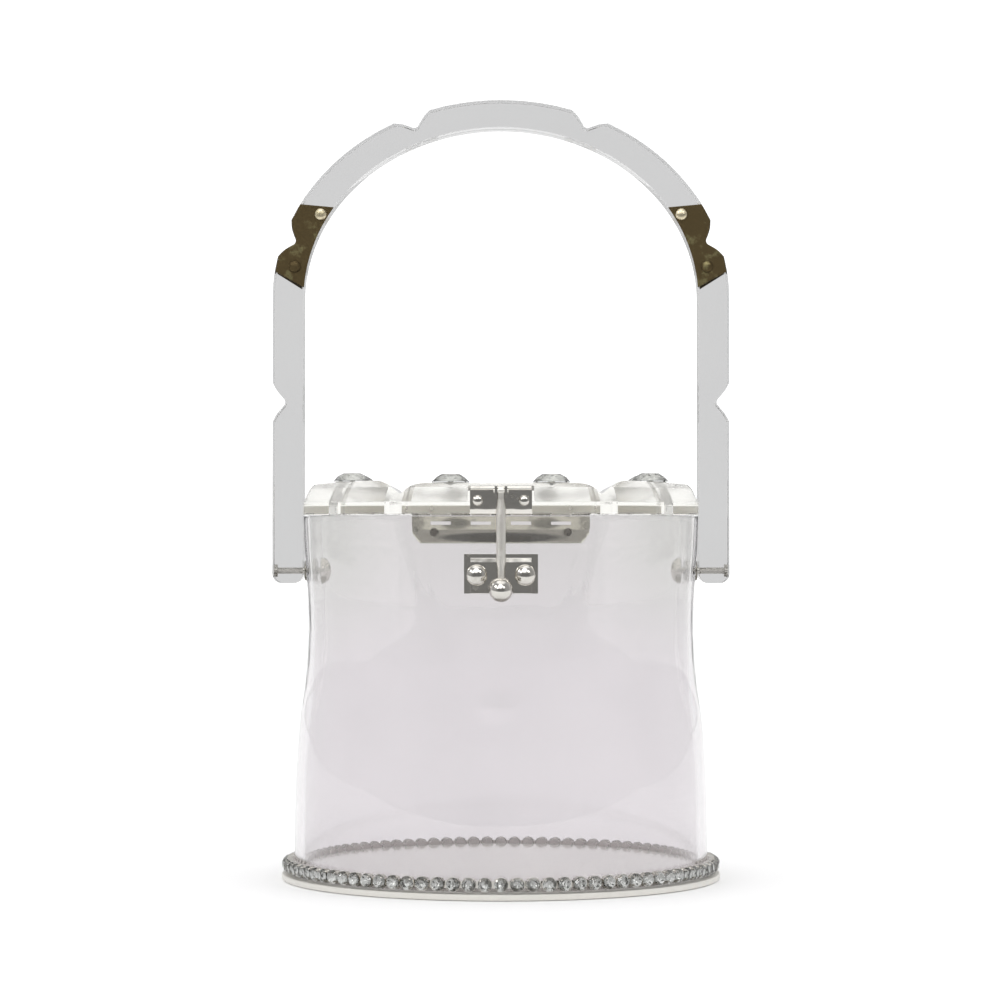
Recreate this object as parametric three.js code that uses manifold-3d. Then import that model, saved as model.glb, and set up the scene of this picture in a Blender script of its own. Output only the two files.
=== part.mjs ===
// Clear acrylic bag: tumbler body with a flat-sided mouth, hinged lobed lid, bow handle and rhinestone trim.
// Millimetres, +Z up, front towards -Y, origin at the centre of the underside.
import * as THREE from 'three';
import { mergeVertices } from 'three/addons/utils/BufferGeometryUtils.js';
import Module from 'manifold-3d';

const wasm = await Module();
wasm.setup();

// Driving dimensions
const GAP = 0.3;
// Flutes of one quarter of the outline, from the front or back round to the side: the angle of each and
// its share of the full depth. They part the flat front and back from the corners, and those from the sides.
const FLUTES = [{ atDeg: 28.5, share: 1 }, { atDeg: 50, share: 0.5 }];
const QUARTER_STEPS_DEG = [0, 8, 16, 23, 26, 28.5, 31, 34, 38, 43, 47, 50, 53, 57, 63, 70.4, 77, 84];

const BASE = { flangeRadius: 69.8, flangeHeight: 1.8, edge: 0.5, plugRadius: 62.4, plugTop: 5, sides: 40 };
const BODY = { bottom: BASE.flangeHeight + GAP, top: 115, wall: 3 };

// Body outside, from the foot up: radius of the corners, distance of the flat sides and of the flat
// front and back, radius in the deepest flutes and half the angle that a flute spans
const BODY_SECTIONS = [
  { z: BODY.bottom, radius: 65.8, side: 65.8, face: 65.8, flute: 65.8, halfDeg: 9 },
  { z: 28, radius: 65.5, side: 65.5, face: 65.5, flute: 65.5, halfDeg: 9 },
  { z: 47, radius: 64.4, side: 64.4, face: 64.4, flute: 64.4, halfDeg: 9 },
  { z: 60, radius: 63.1, side: 62.6, face: 62.4, flute: 63, halfDeg: 9 },
  { z: 74, radius: 62.7, side: 61.0, face: 60.6, flute: 62.4, halfDeg: 8 },
  { z: 88, radius: 63.4, side: 60.8, face: 59.6, flute: 63, halfDeg: 7 },
  { z: 98, radius: 64.2, side: 61.3, face: 59.0, flute: 63.6, halfDeg: 6 },
  { z: 106, radius: 65, side: 61.7, face: 58.6, flute: 64.3, halfDeg: 5.5 },
  { z: BODY.top, radius: 65.8, side: 62, face: 58.4, flute: 65, halfDeg: 5 },
];
const INNER_SECTION_ROWS = [0, 3, 6, 8];

const CHAIN = { stones: 88, inner: 66.1, rim: 68.3, table: 69.6, bottom: BODY.bottom, top: 7.1 };
const CHAIN_TABLE_SHARE = 0.5;

const LID = {
  bottom: BODY.top + GAP, band: 119.2, bevelTop: 123.6, bevelInset: 2.2, over: 128, overInset: 6.6,
};
// Outline of the lid: the mouth of the body with deeper flutes
const LID_PLAN = { ...BODY_SECTIONS[BODY_SECTIONS.length - 1], flute: 62.5, halfDeg: 4 };
// Lid top seen from the front, from the middle outwards: two V grooves run from front to back
const LID_TOP = [
  { x: 0, z: 124.8 },
  { x: 23, z: 124.8 },
  { x: 26.5, z: 124.3 },
  { x: 28.8, z: 123.2 },
  { x: 30.6, z: 121.6 },
  { x: 32.6, z: 123.2 },
  { x: 35, z: 124.9 },
  { x: 38.5, z: 125.7 },
  { x: 46, z: 125.5 },
  { x: 57, z: 125 },
  { x: 66, z: 124.2 },
];

const STONE = { radius: 5.7, tableRadius: 3.1, crown: 2.9, girdle: 0.4, pavilion: 3, sides: 10 };
const STONE_PLACES = [
  { name: 'front_left', x: -15.4, y: -48.6, z: 124.8 },
  { name: 'front_right', x: 15.4, y: -48.6, z: 124.8 },
  { name: 'side_left_front', x: -46.5, y: -24, z: 125.5 },
  { name: 'side_right_front', x: 46.5, y: -24, z: 125.5 },
  { name: 'side_left_back', x: -46.5, y: 24, z: 125.5 },
  { name: 'side_right_back', x: 46.5, y: 24, z: 125.5 },
  { name: 'back_left', x: -15.4, y: 48.6, z: 124.8 },
  { name: 'back_right', x: 15.4, y: 48.6, z: 124.8 },
];

const HINGE = {
  length: 61, knuckles: 9, axisY: 60.5, axisZ: 115.15, barrel: 1.25, bore: 0.85, pin: 0.5,
  leafBack: 58.95, leafThickness: 0.8, lowerEdge: 106.4, upperEdge: 118.8, corner: 3,
};
const HINGE_RIVET_X = 22.5;

const CLASP_UPPER = { width: 18.7, bottom: 115.5, top: 123.7, back: 58.7, thickness: 0.8, lip: 0.7 };
const CLASP_LOWER = { width: 22.3, bottom: 91.4, top: 103.4, back: 59.7, thickness: 0.8 };
const CLASP_SEAT_WIDTH = 20;
const LEVER = {
  pivotY: -61.6, pivotZ: 122.4, eye: 1.5, eyeWidth: 1.6, pin: 0.6, pinProud: 0.4, bore: 0.9, ear: 0.8,
  neckBottom: 119.6, neckSet: 0.4, barWidth: 3.5, barBack: -61.3, barFront: -63.4, barBottom: 95, barLap: 0.4,
  ballRadius: 3.7, ballZ: 92.5,
};
const STUD = { x: 7.3, z: 97 };

// Rivets: head radius and height, shank radius and length, and the tail head where there is one
const LID_RIVET = { head: 1, height: 0.7, shank: 0.7, length: 4 };
const LEAF_RIVET = { head: 1.7, height: 1, shank: 0.8, length: 7.8, tail: 1.4, tailHeight: 0.6 };
const CLASP_RIVET = { x: 7, z: 119.5, head: 1.6, height: 0.9, shank: 0.8, length: 4 };
const STUD_RIVET = { head: 3.2, height: 2.4, shank: 1.2, length: 6, tail: 2.4, tailHeight: 0.8 };
const SPLICE_RIVET = { head: 1.9, height: 1, shank: 0.9, tail: 1.9, tailHeight: 0.8 };
const HOLE = { rivet: 1.1, stud: 1.5, splice: 1.2 };
const BLIND_END = 1;
// Shoulder of a domed head: share of its radius and of its height
const RIVET_DOME = { radius: 0.75, height: 0.7 };

// Reach of the drills: from well inside the bag to outside it
const WELL_INSIDE = 45;
const OUTSIDE = 70;

const HANDLE = {
  inner: 63, outer: 72.7, depth: 12, bottom: 93.8, corner: 3, spring: 184.4,
  innerRise: 54.7, outerRise: 63.4, archSteps: 9,
};
const NOTCH = { depth: 4, halfWidth: 6.2 };
// Notch outline: share of the half width from its middle, and share of the depth there
const NOTCH_PROFILE = [
  { along: -1, cut: 0 },
  { along: -0.62, cut: 0.32 },
  { along: -0.3, cut: 0.72 },
  { along: -0.1, cut: 0.97 },
  { along: 0.1, cut: 0.97 },
  { along: 0.3, cut: 0.72 },
  { along: 0.62, cut: 0.32 },
  { along: 1, cut: 0 },
];
const LEG_NOTCH_Z = 151.4;
const SHOULDER_NOTCH_DEG = 17.8;
const CROWN_NOTCH_DEG = 66.9;
// Stretches of the outer arch between its notches
const PLAIN_SPANS_DEG = { spring: [0, 9], haunch: [27, 58], crown: [76, 90] };
const SPLICE = { outerFromDeg: 7.8, outerToDeg: 28.3, innerFromDeg: 3.7, innerToDeg: 32.1, thickness: 0.6 };
const SPLICE_INSET = 0.25;
const SPLICE_RIVETS = [{ x: 57.4, z: 211.2 }, { x: 65.6, z: 194.6 }];

const PIVOT = {
  z: 97.8, wallOutside: 61.5, wallInside: 58, screw: 1, bore: 1.4, head: 2, headLength: 1.2, sink: 2.4,
  screwPast: 1.6, spacer: 3.2, nut: 4.2, dome: 3.2,
};
const NUT_DOME = { radius: 0.6, height: 0.85, rim: 0.35 };

const FINISHES = {
  clear: { color: 0xdddce0, roughness: 0.06, metalness: 0, transparent: true, opacity: 0.4 },
  stone: { color: 0xe9ecee, roughness: 0.03, metalness: 0 },
  chain: { color: 0xc9c9c6, roughness: 0.15, metalness: 0.6 },
  chrome: { color: 0xc1beb6, roughness: 0.14, metalness: 1 },
  brass: { color: 0x675f49, roughness: 0.42, metalness: 1 },
};

const bag = new THREE.Group();

function addPart(name, finish, geometry, position = [0, 0, 0], rotation = [0, 0, 0]) {
  const mesh = new THREE.Mesh(geometry, new THREE.MeshStandardMaterial(FINISHES[finish]));
  mesh.name = name;
  mesh.position.set(...position);
  mesh.rotation.set(...rotation);
  bag.add(mesh);
}

// Closed meshes and booleans

function weld(geometry) {
  const bare = new THREE.BufferGeometry();
  bare.setAttribute('position', geometry.getAttribute('position'));
  bare.setIndex(geometry.getIndex());
  const merged = mergeVertices(bare, 1e-3);
  const index = merged.getIndex().array;
  const kept = [];
  for (let i = 0; i < index.length; i += 3) {
    const [a, b, c] = index.slice(i, i + 3);
    if (a !== b && b !== c && c !== a) kept.push(a, b, c);
  }
  merged.setIndex(kept);
  return merged;
}

function solidOf(geometry) {
  const welded = weld(geometry);
  const vertProperties = new Float32Array(welded.getAttribute('position').array);
  const triVerts = new Uint32Array(welded.getIndex().array);
  return new wasm.Manifold(new wasm.Mesh({ numProp: 3, vertProperties, triVerts }));
}

function geometryOf(solid) {
  const { vertProperties, triVerts } = solid.getMesh();
  const geometry = new THREE.BufferGeometry();
  geometry.setAttribute('position', new THREE.BufferAttribute(vertProperties, 3));
  geometry.setIndex(new THREE.BufferAttribute(triVerts, 1));
  return geometry;
}

function join(first, ...others) {
  return others.reduce((solid, geometry) => solid.add(solidOf(geometry)), solidOf(first));
}

function cut(solid, ...cutters) {
  return cutters.reduce((rest, geometry) => rest.subtract(solidOf(geometry)), solid);
}

// Basic shapes

function box(xFrom, xTo, yFrom, yTo, zFrom, zTo) {
  const geometry = new THREE.BoxGeometry(xTo - xFrom, yTo - yFrom, zTo - zFrom);
  return geometry.translate((xFrom + xTo) / 2, (yFrom + yTo) / 2, (zFrom + zTo) / 2);
}

function rodAlongX(radius, xFrom, xTo, y, z, sides = 8) {
  const geometry = new THREE.CylinderGeometry(radius, radius, xTo - xFrom, sides);
  return geometry.rotateZ(Math.PI / 2).translate((xFrom + xTo) / 2, y, z);
}

function rodAlongY(radius, yFrom, yTo, x, z, sides = 8) {
  return new THREE.CylinderGeometry(radius, radius, yTo - yFrom, sides).translate(x, (yFrom + yTo) / 2, z);
}

function turned(profile, sides) {
  return weld(new THREE.LatheGeometry(profile.map(([r, h]) => new THREE.Vector2(r, h)), sides));
}

// Skin through rings that each hold the same number of points, counter-clockwise seen from the far end
function skin(rings, closure) {
  const count = rings[0].length;
  const positions = rings.flat(2);
  const index = [];
  const last = closure === 'loop' ? rings.length : rings.length - 1;
  for (let row = 0; row < last; row += 1) {
    const here = row * count;
    const next = ((row + 1) % rings.length) * count;
    for (let i = 0; i < count; i += 1) {
      const j = (i + 1) % count;
      index.push(here + i, here + j, next + j, here + i, next + j, next + i);
    }
  }
  if (closure === 'caps') {
    const top = (rings.length - 1) * count;
    for (let i = 1; i < count - 1; i += 1) {
      index.push(0, i + 1, i, top, top + i, top + i + 1);
    }
  }
  const geometry = new THREE.BufferGeometry();
  geometry.setAttribute('position', new THREE.Float32BufferAttribute(positions, 3));
  geometry.setIndex(index);
  return geometry;
}

// Lobed outline, by the angle from the front

function lobeRadius(angle, { radius, side, face, flute, halfDeg }) {
  const turn = Math.acos(Math.abs(Math.cos(angle)));
  const turnDeg = THREE.MathUtils.radToDeg(turn);
  return FLUTES.reduce((reach, { atDeg, share }) => {
    const away = THREE.MathUtils.smoothstep(Math.abs(turnDeg - atDeg), 0, halfDeg);
    return reach - share * (radius - flute) * (1 - away);
  }, Math.min(radius, side / Math.sin(turn), face / Math.cos(turn)));
}

function lobeAngles() {
  const mirrored = QUARTER_STEPS_DEG.slice(1).reverse().map((step) => 180 - step);
  const half = [...QUARTER_STEPS_DEG, 90, ...mirrored];
  return [...half, ...half.map((step) => step + 180)].map((step) => THREE.MathUtils.degToRad(step));
}

function lobeRing(section, z, inset) {
  return lobeAngles().map((angle) => {
    const r = lobeRadius(angle, section) - inset;
    return [r * Math.sin(angle), -r * Math.cos(angle), z];
  });
}

// Rivets stand along +Z with their shank downwards from the seat, and are turned to face front or back

const FORWARDS = [Math.PI / 2, 0, 0];
const BACKWARDS = [-Math.PI / 2, 0, 0];

function rivet({ head, height, shank, length, tail = 0, tailHeight = 0 }, sides = 6) {
  const profile = [[0, -length]];
  if (tail > 0) profile.push([tail, -length], [tail, tailHeight - length]);
  const shoulder = [RIVET_DOME.radius * head, RIVET_DOME.height * height];
  profile.push([shank, tailHeight - length], [shank, 0], [head, 0], shoulder, [0, height]);
  return turned(profile, sides).rotateX(Math.PI / 2);
}

// Base disc and its chain of stones

function buildBase() {
  const { flangeRadius: r, flangeHeight: h, edge, plugRadius, plugTop, sides } = BASE;
  const profile = [
    [0, 0], [r - edge, 0], [r, edge], [r, h], [plugRadius, h], [plugRadius, plugTop], [0, plugTop],
  ];
  addPart('base_disc', 'clear', turned(profile, sides).rotateX(Math.PI / 2));
}

const OCTAGON_SIDE = Math.tan(Math.PI / 8);
const OCTAGON = [
  [1, -OCTAGON_SIDE], [1, OCTAGON_SIDE], [OCTAGON_SIDE, 1], [-OCTAGON_SIDE, 1],
  [-1, OCTAGON_SIDE], [-1, -OCTAGON_SIDE], [-OCTAGON_SIDE, -1], [OCTAGON_SIDE, -1],
];
const OCTAGON_JOINTS = [0, 4];

function chainPoint(stone, [across, up], scale, radius) {
  const turn = (stone + (scale * across) / 2 + CHAIN.stones) % CHAIN.stones;
  const angle = (turn / CHAIN.stones) * 2 * Math.PI;
  const middle = (CHAIN.bottom + CHAIN.top) / 2;
  const z = middle + (scale * up * (CHAIN.top - CHAIN.bottom)) / 2;
  return [radius * Math.sin(angle), -radius * Math.cos(angle), z];
}

// Each cup shares its two upright sides with its neighbours, so the row is one closed ring
function buildChain() {
  const positions = [];
  const triangle = (...corners) => positions.push(...corners.flat());
  for (let stone = 0; stone < CHAIN.stones; stone += 1) {
    const ring = (scale, radius) => OCTAGON.map((corner) => chainPoint(stone, corner, scale, radius));
    const back = ring(1, CHAIN.inner);
    const rim = ring(1, CHAIN.rim);
    const table = ring(CHAIN_TABLE_SHARE, CHAIN.table);
    for (let i = 0; i < OCTAGON.length; i += 1) {
      const j = (i + 1) % OCTAGON.length;
      const bands = OCTAGON_JOINTS.includes(i) ? [[rim, table]] : [[back, rim], [rim, table]];
      for (const [low, high] of bands) {
        triangle(low[i], low[j], high[j]);
        triangle(low[i], high[j], high[i]);
      }
      if (i > 0 && j > 0) {
        triangle(table[0], table[i], table[j]);
        triangle(back[0], back[j], back[i]);
      }
    }
  }
  const geometry = new THREE.BufferGeometry();
  geometry.setAttribute('position', new THREE.Float32BufferAttribute(positions, 3));
  addPart('rhinestone_chain', 'chain', weld(geometry));
}

// Body shell

function buildBody() {
  const outer = BODY_SECTIONS.map((section) => lobeRing(section, section.z, 0));
  const innerRows = INNER_SECTION_ROWS.map((row) => BODY_SECTIONS[row]).reverse();
  const inner = innerRows.map((section) => lobeRing(section, section.z, BODY.wall));
  const holes = [];
  for (const side of [-1, 1]) {
    const [from, to] = [WELL_INSIDE, OUTSIDE].map((x) => side * x).sort((a, b) => a - b);
    holes.push(rodAlongX(PIVOT.bore, from, to, 0, PIVOT.z));
    holes.push(rodAlongY(HOLE.stud, -OUTSIDE, -WELL_INSIDE, side * STUD.x, STUD.z));
    holes.push(rodAlongY(HOLE.rivet, WELL_INSIDE, OUTSIDE, side * HINGE_RIVET_X, lowerRivetZ()));
  }
  addPart('body_shell', 'clear', geometryOf(cut(solidOf(skin([...outer, ...inner], 'loop')), ...holes)));
}

// Lid and its stones

function lidTopBar() {
  const right = LID_TOP.slice(1);
  const left = [...LID_TOP].reverse();
  const outline = [
    ...left.map(({ x, z }) => new THREE.Vector2(-x, z)),
    ...right.map(({ x, z }) => new THREE.Vector2(x, z)),
  ];
  const edge = LID_TOP[LID_TOP.length - 1].x;
  outline.push(new THREE.Vector2(edge, LID.bottom), new THREE.Vector2(-edge, LID.bottom));
  const options = { depth: 2 * OUTSIDE, bevelEnabled: false };
  const bar = new THREE.ExtrudeGeometry(new THREE.Shape(outline), options);
  return bar.rotateX(Math.PI / 2).translate(0, OUTSIDE, 0);
}

function stoneSeat({ x, y, z }) {
  const flare = (STONE.radius / STONE.pavilion) * (STONE.crown + GAP);
  const seat = turned([
    [0, -STONE.pavilion - 2 * GAP],
    [STONE.radius + GAP, 0],
    [STONE.radius + GAP + flare, STONE.crown + GAP],
    [0, STONE.crown + GAP],
  ], STONE.sides);
  return seat.rotateX(Math.PI / 2).translate(x, y, z);
}

function buildLid() {
  const plan = LID_PLAN;
  const blank = skin([
    lobeRing(plan, LID.bottom, 0),
    lobeRing(plan, LID.band, 0),
    lobeRing(plan, LID.bevelTop, LID.bevelInset),
    lobeRing(plan, LID.over, LID.overInset),
  ], 'caps');
  const halfSeat = CLASP_SEAT_WIDTH / 2;
  const claspSeat = box(-halfSeat, halfSeat, -plan.face, -WELL_INSIDE, LID.band - 1, CLASP_UPPER.top + GAP);
  const holes = STONE_PLACES.map(stoneSeat);
  const deepest = plan.face - LID_RIVET.length - BLIND_END;
  for (const side of [-1, 1]) {
    holes.push(rodAlongY(HOLE.rivet, deepest, OUTSIDE, side * HINGE_RIVET_X, upperRivetZ()));
    holes.push(rodAlongY(HOLE.rivet, -OUTSIDE, -deepest, side * CLASP_RIVET.x, CLASP_RIVET.z));
  }
  const grooved = join(blank, claspSeat).intersect(solidOf(lidTopBar()));
  addPart('lid', 'clear', geometryOf(cut(grooved, ...holes)));
}

function cutStone() {
  const ring = (radius, z, turn) => Array.from({ length: STONE.sides }, (_, i) => {
    const angle = ((i + turn) / STONE.sides) * 2 * Math.PI;
    return [radius * Math.cos(angle), radius * Math.sin(angle), z];
  });
  const culet = ring(0, GAP - STONE.pavilion, 0);
  const rings = [
    culet,
    ring(STONE.radius, GAP, 0),
    ring(STONE.radius, GAP + STONE.girdle, 0),
    ring(STONE.tableRadius, STONE.crown, 0.5),
  ];
  return weld(skin(rings, 'caps'));
}

function buildStones() {
  for (const { name, x, y, z } of STONE_PLACES) {
    addPart(`lid_stone_${name}`, 'stone', cutStone(), [x, y, z]);
  }
}

// Hinge at the back

function lowerRivetZ() {
  return (HINGE.lowerEdge + HINGE.axisZ - HINGE.barrel) / 2;
}

function upperRivetZ() {
  return (HINGE.upperEdge + HINGE.axisZ + HINGE.barrel) / 2 + GAP;
}

function hingeLeaf(edgeZ, first) {
  const { length, knuckles, axisY, axisZ, barrel, leafBack, leafThickness, corner } = HINGE;
  const up = Math.sign(edgeZ - axisZ);
  const half = length / 2;
  const nearZ = axisZ + up * (barrel + GAP);
  const clip = up < 0 ? corner : 0;
  const outline = [
    [-half, nearZ], [half, nearZ], [half, edgeZ - up * clip],
    [half - clip, edgeZ], [clip - half, edgeZ], [-half, edgeZ - up * clip],
  ];
  const shape = new THREE.Shape(outline.map(([x, z]) => new THREE.Vector2(x, z)));
  const plate = new THREE.ExtrudeGeometry(shape, { depth: leafThickness, bevelEnabled: false });
  plate.rotateX(Math.PI / 2).translate(0, leafBack + leafThickness, 0);
  const pieces = [];
  const pitch = length / knuckles;
  for (let knuckle = first; knuckle < knuckles; knuckle += 2) {
    const from = -half + knuckle * pitch + GAP / 2;
    const to = from + pitch - GAP;
    const [low, high] = [axisZ, nearZ + up].sort((a, b) => a - b);
    pieces.push(rodAlongX(barrel, from, to, axisY, axisZ, 10));
    pieces.push(box(from, to, leafBack, leafBack + leafThickness, low, high));
  }
  const holeZ = up < 0 ? lowerRivetZ() : upperRivetZ();
  const holeRadius = up < 0 ? HOLE.rivet : LID_RIVET.shank + GAP;
  const holes = [-1, 1].map((side) => (
    rodAlongY(holeRadius, WELL_INSIDE, OUTSIDE, side * HINGE_RIVET_X, holeZ)
  ));
  const bore = rodAlongX(HINGE.bore, -length, length, axisY, axisZ, 6);
  return geometryOf(cut(join(plate, ...pieces), bore, ...holes));
}

function buildHinge() {
  const { length, axisY, axisZ, pin, lowerEdge, upperEdge, leafBack, leafThickness } = HINGE;
  addPart('hinge_leaf_lower', 'chrome', hingeLeaf(lowerEdge, 0));
  addPart('hinge_leaf_upper', 'chrome', hingeLeaf(upperEdge, 1));
  addPart('hinge_pin', 'chrome', weld(rodAlongX(pin, -length / 2, length / 2, axisY, axisZ, 6)));
  const seat = leafBack + leafThickness + GAP;
  for (const [name, x] of [['left', -HINGE_RIVET_X], ['right', HINGE_RIVET_X]]) {
    addPart(`hinge_rivet_lower_${name}`, 'chrome', rivet(LEAF_RIVET), [x, seat, lowerRivetZ()], BACKWARDS);
    addPart(`hinge_rivet_upper_${name}`, 'chrome', rivet(LID_RIVET), [x, seat, upperRivetZ()], BACKWARDS);
  }
}

// Clasp at the front

function buildClaspPlates() {
  const upper = CLASP_UPPER;
  const front = -upper.back - upper.thickness;
  const half = upper.width / 2;
  const earInside = LEVER.eyeWidth / 2 + GAP;
  const earFront = LEVER.pivotY - LEVER.eye;
  const earBottom = LEVER.pivotZ - LEVER.eye;
  const pieces = [box(-half, half, front - upper.lip, -upper.back, upper.top - upper.lip, upper.top)];
  for (const side of [-1, 1]) {
    const [from, to] = [earInside, earInside + LEVER.ear].map((x) => side * x).sort((a, b) => a - b);
    pieces.push(box(from, to, earFront, front + GAP, earBottom, upper.top));
  }
  const lipGap = box(-earInside, earInside, front - upper.lip - 1, front, earBottom, upper.top + 1);
  const upperHoles = [-1, 1].map((side) => (
    rodAlongY(HOLE.rivet, -OUTSIDE, -WELL_INSIDE, side * CLASP_RIVET.x, CLASP_RIVET.z)
  ));
  const upperPlate = join(box(-half, half, front, -upper.back, upper.bottom, upper.top), ...pieces);
  const pinHole = rodAlongX(LEVER.bore, -half, half, LEVER.pivotY, LEVER.pivotZ);
  addPart('clasp_plate_upper', 'chrome', geometryOf(cut(upperPlate, lipGap, pinHole, ...upperHoles)));

  const lower = CLASP_LOWER;
  const lowerPlate = box(
    -lower.width / 2, lower.width / 2, -lower.back - lower.thickness, -lower.back, lower.bottom, lower.top,
  );
  const lowerHoles = [-1, 1].map((side) => (
    rodAlongY(HOLE.stud, -OUTSIDE, -WELL_INSIDE, side * STUD.x, STUD.z)
  ));
  addPart('clasp_plate_lower', 'chrome', geometryOf(cut(solidOf(lowerPlate), ...lowerHoles)));

  for (const [name, side] of [['left', -1], ['right', 1]]) {
    const rivetPlace = [side * CLASP_RIVET.x, front - GAP, CLASP_RIVET.z];
    addPart(`clasp_rivet_${name}`, 'chrome', rivet(CLASP_RIVET), rivetPlace, FORWARDS);
    const studPlace = [side * STUD.x, -lower.back - lower.thickness - GAP, STUD.z];
    addPart(`clasp_stud_${name}`, 'chrome', rivet(STUD_RIVET, 8), studPlace, FORWARDS);
  }
}

function buildLever() {
  const { pivotY, pivotZ, eye, eyeWidth, bore, pin, ear, neckBottom, neckSet } = LEVER;
  const { barWidth, barBack, barFront, barBottom, barLap, ballRadius } = LEVER;
  const half = barWidth / 2;
  const section = new THREE.Shape();
  section.moveTo(-half, barBack);
  section.lineTo(half, barBack);
  section.quadraticCurveTo(half, barFront, 0, barFront);
  section.quadraticCurveTo(-half, barFront, -half, barBack);
  const barLength = neckBottom + barLap - barBottom;
  const bar = new THREE.ExtrudeGeometry(section, { depth: barLength, bevelEnabled: false, curveSegments: 4 });
  bar.translate(0, 0, barBottom);
  const ballY = -CLASP_LOWER.back - CLASP_LOWER.thickness - 2 * GAP - ballRadius;
  const ball = new THREE.SphereGeometry(ballRadius, 12, 7);
  ball.rotateX(Math.PI / 2).translate(0, ballY, LEVER.ballZ);
  const ring = rodAlongX(eye, -eyeWidth / 2, eyeWidth / 2, pivotY, pivotZ, 10);
  const neck = box(-eyeWidth / 2, eyeWidth / 2, barFront + neckSet, barBack, neckBottom, pivotZ);
  const solid = cut(join(ring, neck, bar, ball), rodAlongX(bore, -half, half, pivotY, pivotZ));
  addPart('clasp_lever', 'chrome', geometryOf(solid));
  const pinEnd = eyeWidth / 2 + GAP + ear + LEVER.pinProud;
  addPart('lever_pin', 'chrome', weld(rodAlongX(pin, -pinEnd, pinEnd, pivotY, pivotZ, 8)));
}

// Handle, drawn as an outline in the XZ plane

function archPoint(reach, rise, angle) {
  return new THREE.Vector2(reach * Math.cos(angle), HANDLE.spring + rise * Math.sin(angle));
}

function innerArch(angle) {
  return archPoint(HANDLE.inner, HANDLE.innerRise, angle);
}

function outerArch(angle) {
  return archPoint(HANDLE.outer, HANDLE.outerRise, angle);
}

// One notch of the outer edge, as points along the edge that dip into the bar
function archNotch(degrees) {
  const middle = THREE.MathUtils.degToRad(degrees);
  const step = 1e-3;
  const perRadian = outerArch(middle + step).distanceTo(outerArch(middle)) / step;
  return NOTCH_PROFILE.map(({ along, cut: share }) => {
    const angle = middle + (along * NOTCH.halfWidth) / perRadian;
    const ahead = outerArch(angle + step).sub(outerArch(angle)).normalize();
    const inwards = new THREE.Vector2(-ahead.y, ahead.x);
    return outerArch(angle).addScaledVector(inwards, share * NOTCH.depth);
  });
}

function legNotch() {
  return NOTCH_PROFILE.map(({ along, cut: share }) => (
    new THREE.Vector2(HANDLE.outer - share * NOTCH.depth, LEG_NOTCH_Z + along * NOTCH.halfWidth)
  ));
}

function archSpan(arch, fromDeg, toDeg, steps) {
  return Array.from({ length: steps + 1 }, (_, i) => (
    arch(THREE.MathUtils.degToRad(fromDeg + ((toDeg - fromDeg) * i) / steps))
  ));
}

function roundedEnd() {
  const { inner, outer, bottom, corner } = HANDLE;
  const arc = (x, fromDeg) => [0, 30, 60, 90].map((turn) => {
    const angle = THREE.MathUtils.degToRad(fromDeg + turn);
    return new THREE.Vector2(x + corner * Math.cos(angle), bottom + corner + corner * Math.sin(angle));
  });
  return [...arc(inner + corner, 180), ...arc(outer - corner, 270)];
}

// Right half, from the foot of the leg up the outer edge to the crown, then the inner edge going down
function handleOutline() {
  const outer = [
    ...roundedEnd(),
    ...legNotch(),
    ...archSpan(outerArch, ...PLAIN_SPANS_DEG.spring, 2),
    ...archNotch(SHOULDER_NOTCH_DEG),
    ...archSpan(outerArch, ...PLAIN_SPANS_DEG.haunch, 4),
    ...archNotch(CROWN_NOTCH_DEG),
    ...archSpan(outerArch, ...PLAIN_SPANS_DEG.crown, 2),
  ];
  const inner = archSpan(innerArch, 0, 90, HANDLE.archSteps);
  const mirrored = (points) => points.map(({ x, y }) => new THREE.Vector2(-x, y)).reverse();
  const innerLeft = mirrored(inner).reverse();
  const innerRight = [...inner].reverse().slice(1);
  return [...outer, ...mirrored(outer).slice(1), ...innerLeft, ...innerRight];
}

function slab(outline, depth) {
  const geometry = new THREE.ExtrudeGeometry(new THREE.Shape(outline), { depth, bevelEnabled: false });
  return geometry.translate(0, 0, -depth / 2).rotateX(Math.PI / 2);
}

function spliceOutline() {
  const notch = archNotch(SHOULDER_NOTCH_DEG);
  const first = outerArch(THREE.MathUtils.degToRad(SPLICE.outerFromDeg));
  const last = outerArch(THREE.MathUtils.degToRad(SPLICE.outerToDeg));
  const inner = archSpan(innerArch, SPLICE.innerToDeg, SPLICE.innerFromDeg, 4);
  return [first, ...notch, last, ...inner];
}

function buildHandle() {
  const { inner, outer, depth } = HANDLE;
  const holes = [];
  for (const side of [-1, 1]) {
    const [from, to] = [side * (inner - 1), side * (outer + 1)].sort((a, b) => a - b);
    holes.push(rodAlongX(PIVOT.bore, from, to, 0, PIVOT.z));
    const sinkFrom = outer - PIVOT.headLength - 2 * GAP;
    const [sinkLow, sinkHigh] = [side * sinkFrom, side * (outer + 1)].sort((a, b) => a - b);
    holes.push(rodAlongX(PIVOT.sink, sinkLow, sinkHigh, 0, PIVOT.z));
    for (const { x, z } of SPLICE_RIVETS) {
      holes.push(rodAlongY(HOLE.splice, -depth, depth, side * x, z));
    }
  }
  addPart('handle', 'clear', geometryOf(cut(solidOf(slab(handleOutline(), depth)), ...holes)));
}

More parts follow.
